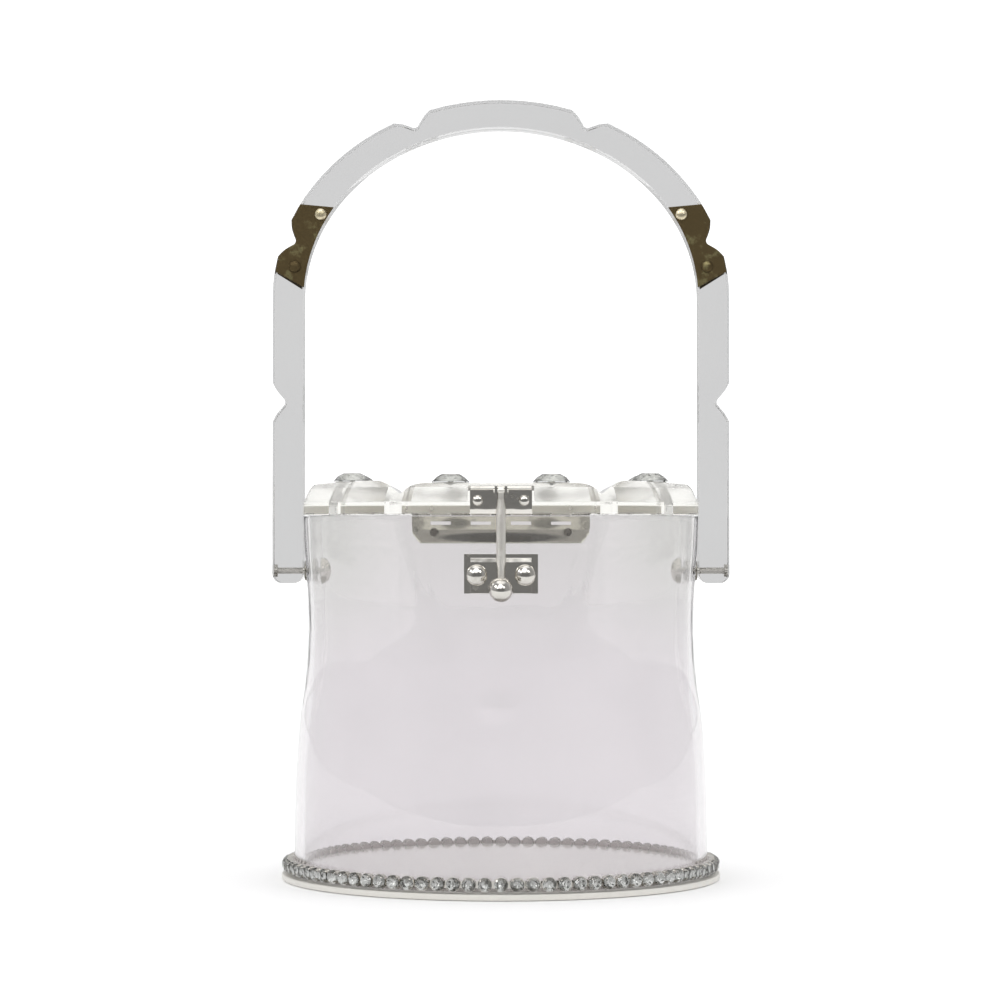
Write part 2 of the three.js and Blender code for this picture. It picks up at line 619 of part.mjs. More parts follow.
function buildSplices() {
  const outline = spliceOutline();
  const middle = HANDLE.depth / 2 + GAP + SPLICE.thickness / 2;
  const seat = HANDLE.depth / 2 + SPLICE.thickness + 2 * GAP;
  const through = { ...SPLICE_RIVET, length: 2 * seat + SPLICE_RIVET.tailHeight };
  for (const [name, side] of [['left', -1], ['right', 1]]) {
    for (const [face, y] of [['front', -middle], ['back', middle]]) {
      const plate = slab(outline, SPLICE.thickness).scale(1 - SPLICE_INSET / HANDLE.outer, 1, 1);
      const solid = cut(solidOf(plate), ...SPLICE_RIVETS.map(({ x, z }) => (
        rodAlongY(HOLE.splice, -1, 1, x, z)
      )));
      const turn = side > 0 ? 0 : Math.PI;
      addPart(`handle_plate_${name}_${face}`, 'brass', geometryOf(solid), [0, y, 0], [0, 0, turn]);
    }
    SPLICE_RIVETS.forEach(({ x, z }, i) => {
      const level = i === 0 ? 'upper' : 'lower';
      addPart(`handle_rivet_${name}_${level}`, 'brass', rivet(through), [side * x, -seat, z], FORWARDS);
    });
  }
}

// Pivot hardware of the handle: screw, spacer and domed nut on each side

function buildPivots() {
  const { wallOutside, wallInside } = PIVOT;
  const screwEnd = wallInside - PIVOT.screwPast;
  const headUnder = HANDLE.outer - PIVOT.headLength - GAP;
  const headTop = HANDLE.outer - GAP;
  const screw = turned([
    [0, screwEnd], [PIVOT.screw, screwEnd], [PIVOT.screw, headUnder],
    [PIVOT.head, headUnder], [PIVOT.head, headTop], [0, headTop],
  ], 10);
  const spacer = turned([
    [PIVOT.bore, wallOutside + GAP], [PIVOT.spacer, wallOutside + GAP],
    [PIVOT.spacer, HANDLE.inner - GAP], [PIVOT.bore, HANDLE.inner - GAP], [PIVOT.bore, wallOutside + GAP],
  ], 10);
  const nutFace = wallInside - GAP;
  const nut = turned([
    [0, nutFace - PIVOT.dome], [NUT_DOME.radius * PIVOT.nut, nutFace - NUT_DOME.height * PIVOT.dome],
    [PIVOT.nut, nutFace - NUT_DOME.rim * PIVOT.dome], [PIVOT.nut, nutFace], [PIVOT.bore, nutFace],
    [PIVOT.bore, screwEnd - GAP], [0, screwEnd - GAP],
  ], 10);
  for (const [name, side] of [['left', -1], ['right', 1]]) {
    const place = [0, 0, PIVOT.z];
    const turn = [0, 0, (-side * Math.PI) / 2];
    addPart(`pivot_screw_${name}`, 'chrome', screw.clone(), place, turn);
    addPart(`pivot_spacer_${name}`, 'chrome', spacer.clone(), place, turn);
    addPart(`pivot_nut_${name}`, 'chrome', nut.clone(), place, turn);
  }
}

buildBase();
buildChain();
buildBody();
buildLid();
buildStones();
buildHinge();
buildClaspPlates();
buildLever();
buildHandle();
buildSplices();
buildPivots();

export default bag;
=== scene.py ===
"""Clear acrylic box bag with rhinestones: models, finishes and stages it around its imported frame."""

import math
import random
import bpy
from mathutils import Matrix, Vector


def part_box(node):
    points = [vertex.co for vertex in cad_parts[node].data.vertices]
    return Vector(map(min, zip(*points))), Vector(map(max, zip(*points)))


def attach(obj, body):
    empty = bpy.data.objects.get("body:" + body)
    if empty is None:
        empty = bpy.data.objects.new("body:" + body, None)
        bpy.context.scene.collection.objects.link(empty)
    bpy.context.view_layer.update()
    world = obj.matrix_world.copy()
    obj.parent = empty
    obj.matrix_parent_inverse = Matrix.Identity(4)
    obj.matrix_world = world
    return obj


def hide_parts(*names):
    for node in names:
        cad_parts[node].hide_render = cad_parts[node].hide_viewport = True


bl_info = {
    "name": "Clear Box Bag",
    "version": (1, 0, 0),
    "blender": (4, 5, 0),
    "location": "View3D > Sidebar > Box Bag",
    "description": "Models a clear acrylic box bag with rhinestone trim around its packed frame",
    "category": "Add Mesh",
}

import bpy
from bpy.props import FloatProperty, FloatVectorProperty, IntProperty, PointerProperty
from mathutils import Matrix, Vector

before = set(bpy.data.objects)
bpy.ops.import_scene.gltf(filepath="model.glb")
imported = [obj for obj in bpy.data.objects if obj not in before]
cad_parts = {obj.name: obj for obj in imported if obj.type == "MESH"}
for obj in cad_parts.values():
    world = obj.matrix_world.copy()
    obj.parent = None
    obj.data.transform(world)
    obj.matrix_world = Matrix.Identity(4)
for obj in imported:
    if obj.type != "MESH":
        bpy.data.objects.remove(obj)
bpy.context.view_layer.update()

MM = 0.001
DOUBLED = 0.002 * MM
X_AXIS = Vector((1, 0, 0))
Z_AXIS = Vector((0, 0, 1))
FORWARDS = Vector((0, -1, 0))
BACKWARDS = Vector((0, 1, 0))
SIDES = (("left", -1), ("right", 1))

# Sizes are in millimetres and angles in degrees
# Base disc
FLANGE_TOP = 1.8
PLUG_RADIUS = 62.4
PLUG_TOP = 5.0

# Stone chain: cup turned about the stone's axis, and the height in it that a stone leans about
CUP_PROFILE = ((0, 0), (1.9, 0), (2.2, 0.3), (2.25, 2.0), (2.05, 2.0), (1.95, 1.2), (0, 1.0))
STONE_GIRDLE = 2.1
PRONG = ((2.0, -0.32, 0.9), (2.42, 0.32, 2.85))
LINK = ((-2.75, -1.1, 0.25), (-1.9, 1.1, 0.95))

# Body outside from the foot up: height, radius of the corners, distance of the flat sides and of the flat
# front and back
SECTIONS = (
    (2.1, 65.8, 65.8, 65.8),
    (28.0, 65.5, 65.5, 65.5),
    (47.0, 64.4, 64.4, 64.4),
    (60.0, 63.1, 62.6, 62.4),
    (74.0, 62.7, 61.0, 60.6),
    (88.0, 63.4, 60.8, 59.6),
    (98.0, 64.2, 61.4, 59.0),
    (106.0, 65.0, 61.8, 58.6),
    (115.0, 65.8, 62.0, 58.4),
)
BODY_ROUNDING = 1.2
OUTLINE_STEPS = 288
# The lid has the outline of the mouth, then the radius in its deepest flutes and half the angle of a flute
LID_PLAN = (65.8, 62.0, 58.4, 62.5, 4.0)
LID_ROUNDING = 0.8
# Flutes of one quarter of the lid, from the front or back round to the side: angle and share of depth
FLUTES = ((28.5, 1.0), (50.0, 0.5))

# Lid: heights of its rings with their inset, its top seen from the front, and the radius its bevel starts at
LID_RINGS = ((115.3, 0.25), (115.55, 0.0), (119.1, 0.0), (119.4, 0.1), (123.6, 2.2), (128.0, 6.6))
LID_CROWN = ((0, 124.8), (12, 124.8), (23, 124.8), (26.5, 124.3), (28.8, 123.2), (30.6, 121.6))
LID_SIDE = ((30.6, 121.6), (32.6, 123.2), (35, 124.9), (38.5, 125.7), (46, 125.5), (57, 125), (66, 124.2))
LID_BEVEL_FROM = 50.0
CLASP_SEAT = ((-10.0, -58.35, 118.0), (10.0, -45.0, 124.0))
STONE_SEAT = ((0, -2.5), (5.45, 0.3), (5.8, 0.3), (5.8, 0.5), (9.4, 3.3), (0, 3.3))
STONE_PLACES = {
    "front_left": (-15.4, -48.6, 124.8),
    "front_right": (15.4, -48.6, 124.8),
    "side_left_front": (-46.5, -24.0, 125.5),
    "side_right_front": (46.5, -24.0, 125.5),
    "side_left_back": (-46.5, 24.0, 125.5),
    "side_right_back": (46.5, 24.0, 125.5),
    "back_left": (-15.4, 48.6, 124.8),
    "back_right": (15.4, 48.6, 124.8),
}

# Hinge at the back
HINGE_AXIS = (60.5, 115.15)
HINGE_LENGTH = 61.0
KNUCKLES = 9
BARREL = 1.25
LEAF_Y = (58.95, 59.75)
LOWER_LEAF = ((-30.5, 113.9), (30.5, 113.9), (30.5, 109.4), (27.5, 106.4), (-27.5, 106.4), (-30.5, 109.4))
UPPER_LEAF = ((-30.5, 116.4), (30.5, 116.4), (30.5, 118.8), (-30.5, 118.8))
LOWER_RIVET = (22.5, 110.15)
UPPER_RIVET = (22.5, 117.9)
# The top of the lower leaf leans back, its edge is notched between the knuckles and its foot is chamfered
LEAF_LEAN = ((58.5, 111.1), (58.95, 111.1), (59.7, 114.0), (58.5, 114.0))
LEAF_NOTCH = (112.7, 115.0)
LEAF_CHAMFER = 0.55
# Above this height the lower leaf's knuckles get dark nickel: a painted shadow of the gap they turn in
SHADED_KNUCKLES_FROM = 114.0
# Painted shade on the inner side of the lower leaf, a long dark oval across its middle and a painted shadow
# below each knuckle: middle, half size
LEAF_PAINTED_SHADE = [((0.0, 58.95, 108.4), (23.0, 0.6, 1.9))] + [
    (((knuckle + 0.5) * HINGE_LENGTH / KNUCKLES - HINGE_LENGTH / 2, 59.6, 113.8), (3.5, 0.6, 0.6))
    for knuckle in range(0, KNUCKLES, 2)
]

# Clasp at the front
LEVER_PIVOT = (-61.6, 122.4)
STUD = (7.3, -60.25, 97.0)
CLASP_RIVET = (7.0, -59.35, 119.5)
# Plates seen from the side, with their half widths, and the corners of the lower one
HASP = (
    (-58.7, 115.5), (-59.0, 115.5), (-59.28, 116.2), (-59.45, 117.1), (-59.5, 118.3), (-59.5, 123.7),
    (-58.7, 123.7),
)
HASP_HALF = 9.35
EARS = (((-1.9, -63.1, 120.9), (-1.1, -59.2, 123.7)), ((1.1, -63.1, 120.9), (1.9, -59.2, 123.7)))
SLOT = ((-1.1, -63.5, 120.9), (1.1, -59.5, 124.2))
LIP = (9.2, -59.45, 123.25)
STUD_PLATE = ((-11.15, -60.05, 91.4), (11.15, -59.7, 103.4))
PAD = ((-59.9, 91.5), (-60.4, 91.5), (-60.4, 100.9), (-60.215, 102.1), (-59.9, 102.1))
PAD_HALF = 9.2
# Lever from the ball up: height, half width and half depth of the bar
LEVER_BAR = ((94.5, 0.95, 0.85), (98.5, 1.0, 0.9), (102.0, 1.4, 1.05), (116.0, 1.4, 1.05), (119.8, 0.95, 0.9))
LEVER_BAR_Y = -62.35
LEVER_NECK = ((-0.8, -62.9, 119.0), (0.8, -61.4, 122.4))
LEVER_BALL = (-64.8, 92.5, 3.6)

# Handle outline, a quarter ellipse inside and outside above straight legs
HANDLE_INNER = (63.0, 54.7)
HANDLE_OUTER = (72.7, 63.4)
HANDLE_SPRING = 184.4
HANDLE_FOOT = 93.8
HANDLE_CORNER = 3.0
NOTCH_DEPTH = 4.0
NOTCH_HALF = 6.2
NOTCH_PROFILE = (
    (-1, 0), (-0.62, 0.32), (-0.3, 0.72), (-0.1, 0.97), (0.1, 0.97), (0.3, 0.72), (0.62, 0.32), (1, 0),
)
LEG_NOTCH_Z = 151.4
SHOULDER_NOTCH = 17.8
CROWN_NOTCH = 66.9
# Brass plates: angles they span outside and inside, and how far they keep from the handle's edges
PLATE_OUTER = (7.8, 28.3)
PLATE_INNER = (32.1, 3.7)
PLATE_INSET = {"front": 0.0, "back": 1.2}
PLATE_SHRINK = 0.9966
PLATE_GAP = 0.1
PLATE_THICKNESS = 0.6
PLATE_RIVETS = {"upper": (57.4, 211.2), "lower": (65.6, 194.6)}
PIVOT_Z = 97.8

# Camera at the photograph's angle, its place in metres
CAMERA_PLACE = (-0.0003, -1.03, 0.1076)
CAMERA_TILT = 90.71
CAMERA_LENS = 115.9
# Soft lights that polished pieces mirror: direction, cosine at full and at no strength, strength
STUDIO_LIGHTS = (
    ((-0.08, -0.77, 0.64), 0.96, 0.90, 1.9),
    ((-0.52, -0.74, 0.42), 0.996, 0.990, 7.0),
    ((0.45, -0.75, 0.48), 0.996, 0.990, 7.0),
    ((-0.75, -0.35, 0.55), 0.996, 0.990, 7.0),
)


# Settings that a user would change


def length_property(name, description, default):
    return FloatProperty(name=name, description=description, default=default, unit="LENGTH")


def colour_property(name, description, default):
    return FloatVectorProperty(name=name, description=description, default=default, size=3, subtype="COLOR")


class BagSizes(bpy.types.PropertyGroup):
    """Sizes of the bag's pieces"""

    wall: length_property("Wall", "Thickness of the body's wall", 3.0 * MM)
    flange: length_property("Flange radius", "Radius of the base disc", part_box("base_disc")[1].x)
    handle_depth: length_property(
        "Handle depth", "Handle from front to back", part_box("handle")[1].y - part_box("handle")[0].y)
    handle_edge: length_property("Handle edge", "Rounding of the handle's edges", 0.3 * MM)
    plate_edge: length_property("Plate edge", "Rounding of the metal plates", 0.16 * MM)
    chain_stones: IntProperty(
        name="Chain stones", description="Stones in the ring round the foot", default=88, min=12)
    chain_back: length_property("Chain back", "Radius at the back of the chain's cups", 66.1 * MM)
    chain_tilt: FloatProperty(
        name="Chain tilt", description="Most that a stone of the chain leans in its cup",
        default=math.radians(14), subtype="ANGLE")
    stone: length_property("Lid stone", "Radius of a stone in the lid", 5.7 * MM)


class BagColours(bpy.types.PropertyGroup):
    """Colours of the bag's finishes"""

    body: colour_property("Body acrylic", "Tint of the body's wall", (0.838, 0.818, 0.832))
    # Painted shade: the darker colour the body's wall takes towards its mouth and sides
    mouth: colour_property("Mouth acrylic", "Tint of the body's wall towards its mouth", (0.76, 0.757, 0.748))
    depth: colour_property("Acrylic depth", "Tint that builds up inside the body's wall", (0.55, 0.53, 0.56))
    lid: colour_property("Lid acrylic", "Tint of the lid", (0.89, 0.885, 0.85))
    base: colour_property("Base acrylic", "Tint of the base disc", (0.67, 0.655, 0.615))
    handle: colour_property("Handle acrylic", "Tint of the handle", (0.565, 0.565, 0.567))
    nickel: colour_property("Nickel", "Polished plate", (0.66, 0.64, 0.60))
    # Painted highlight: the hinge's nickel is much brighter and warmer than the plate nickel
    leaf: colour_property("Hinge nickel", "Satin plate of the hinge", (0.92, 0.925, 0.80))
    tarnish: colour_property("Tarnish", "Dulled plate", (0.36, 0.34, 0.30))
    brass_dark: colour_property("Dark brass", "Tarnished brass", (0.105, 0.078, 0.038))
    brass_worn: colour_property("Worn brass", "Rubbed brass", (0.27, 0.24, 0.12))
    # Rubbed brass, made lighter still as a painted highlight on the upper rivets
    brass_rubbed_highlight: colour_property("Bright brass", "Polished rivet heads", (0.72, 0.64, 0.46))
    crystal: colour_property("Crystal", "Cut glass of the stones", (0.97, 0.98, 0.98))
    foil: colour_property("Foil", "Silvered backs of the stones", (0.82, 0.82, 0.80))
    floor: colour_property("Floor", "Pale floor", (0.90, 0.90, 0.90))


# Modelling steps


def fresh():
    """Goes to object mode with nothing selected."""
    active = bpy.context.view_layer.objects.active
    if active is not None and active.mode != "OBJECT":
        bpy.ops.object.mode_set(mode="OBJECT")
    bpy.ops.object.select_all(action="DESELECT")


def take(*pieces):
    """Selects the pieces alone, with the first one active."""
    fresh()
    for piece in pieces:
        piece.select_set(True)
    bpy.context.view_layer.objects.active = pieces[0]


def edit(piece):
    take(piece)
    bpy.ops.object.mode_set(mode="EDIT")


def named(name):
    """The object that an operator has just made, under its own name."""
    piece = bpy.context.object
    piece.name = name
    piece.data.name = name
    return piece


def placed(name):
    """The object that an operator has just added, under its own name and with its place in its mesh."""
    piece = named(name)
    bpy.ops.object.transform_apply(location=True, rotation=True, scale=True)
    return piece


def everything():
    """Selects the whole mesh, in edit mode."""
    bpy.ops.mesh.select_all(action="SELECT")


def pick_edges(piece, test):
    """Selects the edges whose two ends pass the test, in edit mode."""
    edit(piece)
    bpy.ops.mesh.select_mode(type="EDGE")
    bpy.ops.mesh.select_all(action="DESELECT")
    bpy.ops.object.mode_set(mode="OBJECT")
    points = piece.data.vertices
    for edge in piece.data.edges:
        edge.select = test(*(points[i].co for i in edge.vertices))
    bpy.ops.object.mode_set(mode="EDIT")


def shape(piece, move):
    """Puts each vertex where move says, as by hand in edit mode."""
    fresh()
    for vertex in piece.data.vertices:
        vertex.co = move(vertex.co)
    piece.data.update()


def close(piece):
    """Merges doubled points and turns the faces outwards."""
    edit(piece)
    bpy.ops.mesh.select_mode(type="VERT")
    everything()
    bpy.ops.mesh.remove_doubles(threshold=DOUBLED)
    bpy.ops.mesh.normals_make_consistent(inside=False)
    fresh()
    return piece


def trace(name, points):
    """A line through the points, drawn by extruding one vertex along them. Leaves it in edit mode."""
    fresh()
    bpy.ops.mesh.primitive_plane_add(size=MM, location=(0, 0, 0))
    piece = named(name)
    bpy.ops.object.mode_set(mode="EDIT")
    bpy.ops.mesh.select_mode(type="VERT")
    everything()
    bpy.ops.mesh.merge(type="CENTER")
    bpy.ops.transform.translate(value=points[0])
    for here, there in zip(points, points[1:]):
        step = Vector(there) - Vector(here)
        bpy.ops.mesh.extrude_region_move(TRANSFORM_OT_translate={"value": step})
    return piece


def turned(name, profile, place, axis, steps=48):
    """A turned piece: the profile gives radius and distance along the axis in millimetres."""
    side = axis.orthogonal().normalized()
    points = [place + (side * radius + axis * along) * MM for radius, along in profile]
    piece = trace(name, points)
    everything()
    bpy.ops.mesh.spin(steps=steps, angle=math.tau, center=place, axis=axis)
    return close(piece)


def slab(name, outline, depth):
    """A plate: the closed outline, filled and drawn out by the depth."""
    piece = trace(name, [*outline, outline[0]])
    everything()
    bpy.ops.mesh.remove_doubles(threshold=DOUBLED)
    everything()
    bpy.ops.mesh.edge_face_add()
    bpy.ops.mesh.extrude_region_move(TRANSFORM_OT_translate={"value": depth})
    return close(piece)


def drawn_across(name, profile, half):
    """A bar from left to right: its profile seen from the side and its half width, in millimetres."""
    return slab(name, [Vector((-half, y, z)) * MM for y, z in profile], X_AXIS * 2 * half * MM)


def block(name, low, high):
    """A box between two corners given in millimetres."""
    fresh()
    low, high = Vector(low) * MM, Vector(high) * MM
    bpy.ops.mesh.primitive_cube_add(size=1, location=(low + high) / 2, scale=high - low)
    return placed(name)


def rod(name, radius, start, end, steps=32):
    """A round bar between two points, all in millimetres."""
    start, end = Vector(start), Vector(end)
    length = (end - start).length
    profile = ((0, 0), (radius, 0), (radius, length), (0, length))
    return turned(name, profile, start * MM, (end - start).normalized(), steps)


def modify(piece, kind, **settings):
    """Adds one modifier and applies it."""
    take(piece)
    modifier = piece.modifiers.new(kind.title(), kind)
    for key, value in settings.items():
        setattr(modifier, key, value)
    bpy.ops.object.modifier_apply(modifier=modifier.name)
    return piece


def rounded(piece, width, segments=2, angle=35):
    """Rounds the edges that are sharper than the angle."""
    return modify(
        piece, "BEVEL", width=width, segments=segments, limit_method="ANGLE", angle_limit=math.radians(angle))


def merge(piece, tool, operation):
    """Unites the piece with the tool, cuts the tool from it or keeps what both share."""
    modify(piece, "BOOLEAN", object=tool, operation=operation, solver="EXACT")
    bpy.data.objects.remove(tool, do_unlink=True)
    return close(piece)


def joined(name, pieces):
    """Puts pieces into one mesh, with no change of shape."""
    take(*pieces)
    bpy.ops.object.join()
    return named(name)


def settle(piece, body, materials, nodes, smooth=30.0):
    """Gives a finished piece its shading and finish, and sets it on its body in place of its nodes."""
    take(piece)
    bpy.ops.object.transform_apply(location=True, rotation=True, scale=True)
    bpy.ops.object.shade_smooth_by_angle(angle=math.radians(smooth))
    modify(piece, "WEIGHTED_NORMAL", keep_sharp=True)
    if not piece.data.materials:
        for material in materials:
            piece.data.materials.append(material)
    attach(piece, body)
    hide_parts(*nodes)
    fresh()
    return piece


def finish_faces(piece, which):
    """Gives each face the finish whose place in the piece's list which tells."""
    for face in piece.data.polygons:
        face.material_index = int(which(face))


# Curves and outlines, in millimetres


def smoothstep(low, high, value):
    t = min(max((value - low) / (high - low), 0.0), 1.0)
    return t * t * (3 - 2 * t)


def through(points, steps):
    """Points of a smooth curve that passes through the given ones."""
    padded = [points[0], *points, points[-1]]
    curve = []
    for before, start, end, after in zip(padded, padded[1:], padded[2:], padded[3:]):
        for i in range(steps):
            t = i / steps
            curve.append(tuple(
                b + 0.5 * t * (c - a + t * (2 * a - 5 * b + 4 * c - d + t * (3 * (b - c) + d - a)))
                for a, b, c, d in zip(before, start, end, after)))
    return [*curve, points[-1]]


def section_at(height):
    """Corner radius, side and face of the body at a height."""
    rows = SECTIONS
    i = max(k for k in range(len(rows) - 1) if k == 0 or rows[k][0] <= height)
    low, high = rows[i], rows[i + 1]
    before = rows[max(i - 1, 0)]
    after = rows[min(i + 2, len(rows) - 1)]
    span = high[0] - low[0]
    t = min(max((height - low[0]) / span, 0.0), 1.0)
    values = []
    for column in range(1, len(low)):
        leave = (high[column] - before[column]) / (high[0] - before[0]) * span
        arrive = (after[column] - low[column]) / (after[0] - low[0]) * span
        step = high[column] - low[column]
        values.append(low[column] + t * (leave + t * (
            3 * step - 2 * leave - arrive + t * (leave + arrive - 2 * step))))
    return values


def soft_min(first, second, blend):
    """The smaller of two values, rounded where they meet."""
    share = min(max(0.5 + 0.5 * (second - first) / blend, 0.0), 1.0)
    return second + (first - second) * share - blend * share * (1 - share)


def lobe_radius(angle, section, rounding):
    """Radius of the outline at an angle from the front, with flutes where the section has them."""
    radius, side, face, *fluted = section
    across, along = abs(math.sin(math.radians(angle))), abs(math.cos(math.radians(angle)))
    turn = math.degrees(math.atan2(across, along))
    reach = radius
    for flat, lean in ((side, across), (face, along)):
        blend = min(rounding, 2 * max(radius - flat, 0.0)) + 1e-6
        reach = soft_min(reach, flat / max(lean, 1e-3), blend)
    if fluted:
        flute, half = fluted
        for middle, depth in FLUTES:
            reach -= depth * (radius - flute) * (1 - smoothstep(0, half, abs(turn - middle)))
    return reach


def lobed(point, section, rounding, inset=0.0):
    """A point moved out to the outline, at its own angle and height."""
    angle = math.degrees(math.atan2(point.x, -point.y))
    radius = (lobe_radius(angle, section, rounding) - inset) * MM
    turn = math.radians(angle)
    return Vector((radius * math.sin(turn), -radius * math.cos(turn), point.z))


def arch(reach_rise, degrees):
    reach, rise = reach_rise
    turn = math.radians(degrees)
    return Vector((reach * math.cos(turn), HANDLE_SPRING + rise * math.sin(turn)))


def arch_span(reach_rise, start, end, steps):
    return [arch(reach_rise, start + (end - start) * i / steps) for i in range(steps + 1)]


def arch_notch(middle):
    """Points along the outer arch that dip into a notch."""
    step = 0.05
    per_degree = (arch(HANDLE_OUTER, middle + step) - arch(HANDLE_OUTER, middle)).length / step
    points = []
    for along, cut in through(NOTCH_PROFILE, 3):
        degrees = middle + along * NOTCH_HALF / per_degree
        ahead = (arch(HANDLE_OUTER, degrees + step) - arch(HANDLE_OUTER, degrees)).normalized()
        points.append(arch(HANDLE_OUTER, degrees) + Vector((-ahead.y, ahead.x)) * cut * NOTCH_DEPTH)
    return points


def leg_notch():
    return [
        Vector((HANDLE_OUTER[0] - cut * NOTCH_DEPTH, LEG_NOTCH_Z + along * NOTCH_HALF))
        for along, cut in through(NOTCH_PROFILE, 3)
    ]


def foot_corner(x, start):
    points = []
    for turn in range(0, 91, 15):
        angle = math.radians(start + turn)
        points.append(Vector((
            x + HANDLE_CORNER * math.cos(angle), HANDLE_FOOT + HANDLE_CORNER * (1 + math.sin(angle)))))
    return points


def handle_outline():
    """Outline of the handle from the front, all the way round."""
    outer = [
        *foot_corner(HANDLE_INNER[0] + HANDLE_CORNER, 180),
        *foot_corner(HANDLE_OUTER[0] - HANDLE_CORNER, 270),
        *leg_notch(),
        *arch_span(HANDLE_OUTER, 0, 9, 4),
        *arch_notch(SHOULDER_NOTCH),
        *arch_span(HANDLE_OUTER, 27, 58, 14),
        *arch_notch(CROWN_NOTCH),
        *arch_span(HANDLE_OUTER, 76, 90, 7),
    ]
    inner = arch_span(HANDLE_INNER, 90, 0, 45)
    left = [Vector((-p.x, p.y)) for p in reversed(outer)]
    inner_left = [Vector((-p.x, p.y)) for p in reversed(inner)]
    return [*outer, *left[1:], *inner_left, *inner[1:]]


def upright(points, y):
    """Outline points given as across and up, set upright at a distance from front to back."""
    return [Vector((x, y, z)) * MM for x, z in points]


# Shading


class Wire:
    """A socket of a node tree, so that shader maths is written as plain expressions."""

    def __init__(self, tree, socket=None):
        self.tree = tree
        self.socket = socket

    def make(self, kind, settings=None, output=0, **values):
        """Adds a node of the kind, with its settings, then the values or links of its sockets."""
        node = self.tree.nodes.new("ShaderNode" + kind)
        for key, value in (settings or {}).items():
            setattr(node, key, value)
        for key, value in values.items():
            place = int(key[1:]) if key[0] == "_" and key[1:].isdigit() else key.replace("_", " ")
            socket = node.inputs[place]
            if isinstance(value, Wire):
                self.tree.links.new(value.socket, socket)
            else:
                socket.default_value = value
        return Wire(self.tree, node.outputs[output]) if node.outputs else None

    def maths(self, operation, *values):
        sockets = {f"_{i}": value for i, value in enumerate(values)}
        return self.make("Math", {"operation": operation}, **sockets)

    def also(self, name):
        """Another output of the same node."""
        return Wire(self.tree, self.socket.node.outputs[name])

    def __add__(self, other):
        return self.maths("ADD", self, other)

    def __sub__(self, other):
        return self.maths("SUBTRACT", self, other)

    def __rsub__(self, other):
        return self.maths("SUBTRACT", other, self)

    def __mul__(self, other):
        return self.maths("MULTIPLY", self, other)

    __radd__ = __add__
    __rmul__ = __mul__

    def ranged(self, low, high, to_low=0.0, to_high=1.0):
        """This value carried smoothly from one range to another."""
        return self.make(
            "MapRange", {"interpolation_type": "SMOOTHSTEP"}, Value=self, From_Min=low, From_Max=high,
            To_Min=to_low, To_Max=to_high)

    def between(self, first, second):
        """A colour between two, by this value."""
        sockets = {"_0": self, "_6": first, "_7": second}
        return self.make("Mix", {"data_type": "RGBA"}, output=2, **sockets)


def finish_of(name):
    """An empty material, its place for nodes and the place on the piece."""
    material = bpy.data.materials.new(name)
    material.use_nodes = True
    material.node_tree.nodes.clear()
    wire = Wire(material.node_tree)
    return material, wire, wire.make("TexCoord", output=3)


def surfaced(material, wire, **values):
    """The material, with a surface of these values."""
    wire.make("OutputMaterial", Surface=wire.make("BsdfPrincipled", **values))
    return material


def noise(wire, place, scale, detail=4.0, roughness=0.55):
    return wire.make("TexNoise", Vector=place, Scale=scale, Detail=detail, Roughness=roughness)


def shaded(tint, factor):
    return [channel * factor for channel in tint]


def rgba(tint, factor=1.0):
    return (*shaded(tint, factor), 1.0)


def acrylic(name, tint, depth_tint=None, density=0.0, blur=0.01, clear=1.0, painted_mouth_shade=None):
    """Clear acrylic with faint clouds in its tint, hazy rubbed patches and a slight ripple.

    Where there is a mouth shade, the colour darkens to it towards the bag's mouth, most of all at its sides:
    this is painted shade.
    """
    material, wire, place = finish_of(name)
    clouds = noise(wire, place, 22.0, 2.0)
    colour = clouds.ranged(0.3, 0.7).between(rgba(tint, 0.975), rgba(tint))
    # Painted shade: darker towards the mouth, most of all at the sides
    if painted_mouth_shade:
        across = wire.make("SeparateXYZ", Vector=place)
        sides = across.maths("ABSOLUTE", across).ranged(0.03, 0.058, 0.5, 1.0)
        colour = (sides * across.also("Z").ranged(0.06, 0.108)).between(colour, rgba(painted_mouth_shade))
    rubbed = noise(wire, place, 60.0, 3.0, 0.6).ranged(0.55, 0.75)
    haze = blur + rubbed * 0.015
    waves = noise(wire, place, 38.0, 1.0)
    bump = wire.make("Bump", Strength=0.02, Distance=0.002, Height=waves)
    body = wire.make(
        "BsdfPrincipled", Base_Color=colour, Roughness=haze, Normal=bump, IOR=1.49, Transmission_Weight=clear)
    let_through = wire.make("BsdfTransparent", Color=(0.96, 0.96, 0.965, 1.0))
    rays = wire.make("LightPath", output="Is Shadow Ray")
    sockets = {"Surface": wire.make("MixShader", _0=rays, _1=body, _2=let_through)}
    if density:
        sockets["Volume"] = wire.make("VolumeAbsorption", Color=rgba(depth_tint), Density=density)
    wire.make("OutputMaterial", **sockets)
    return material


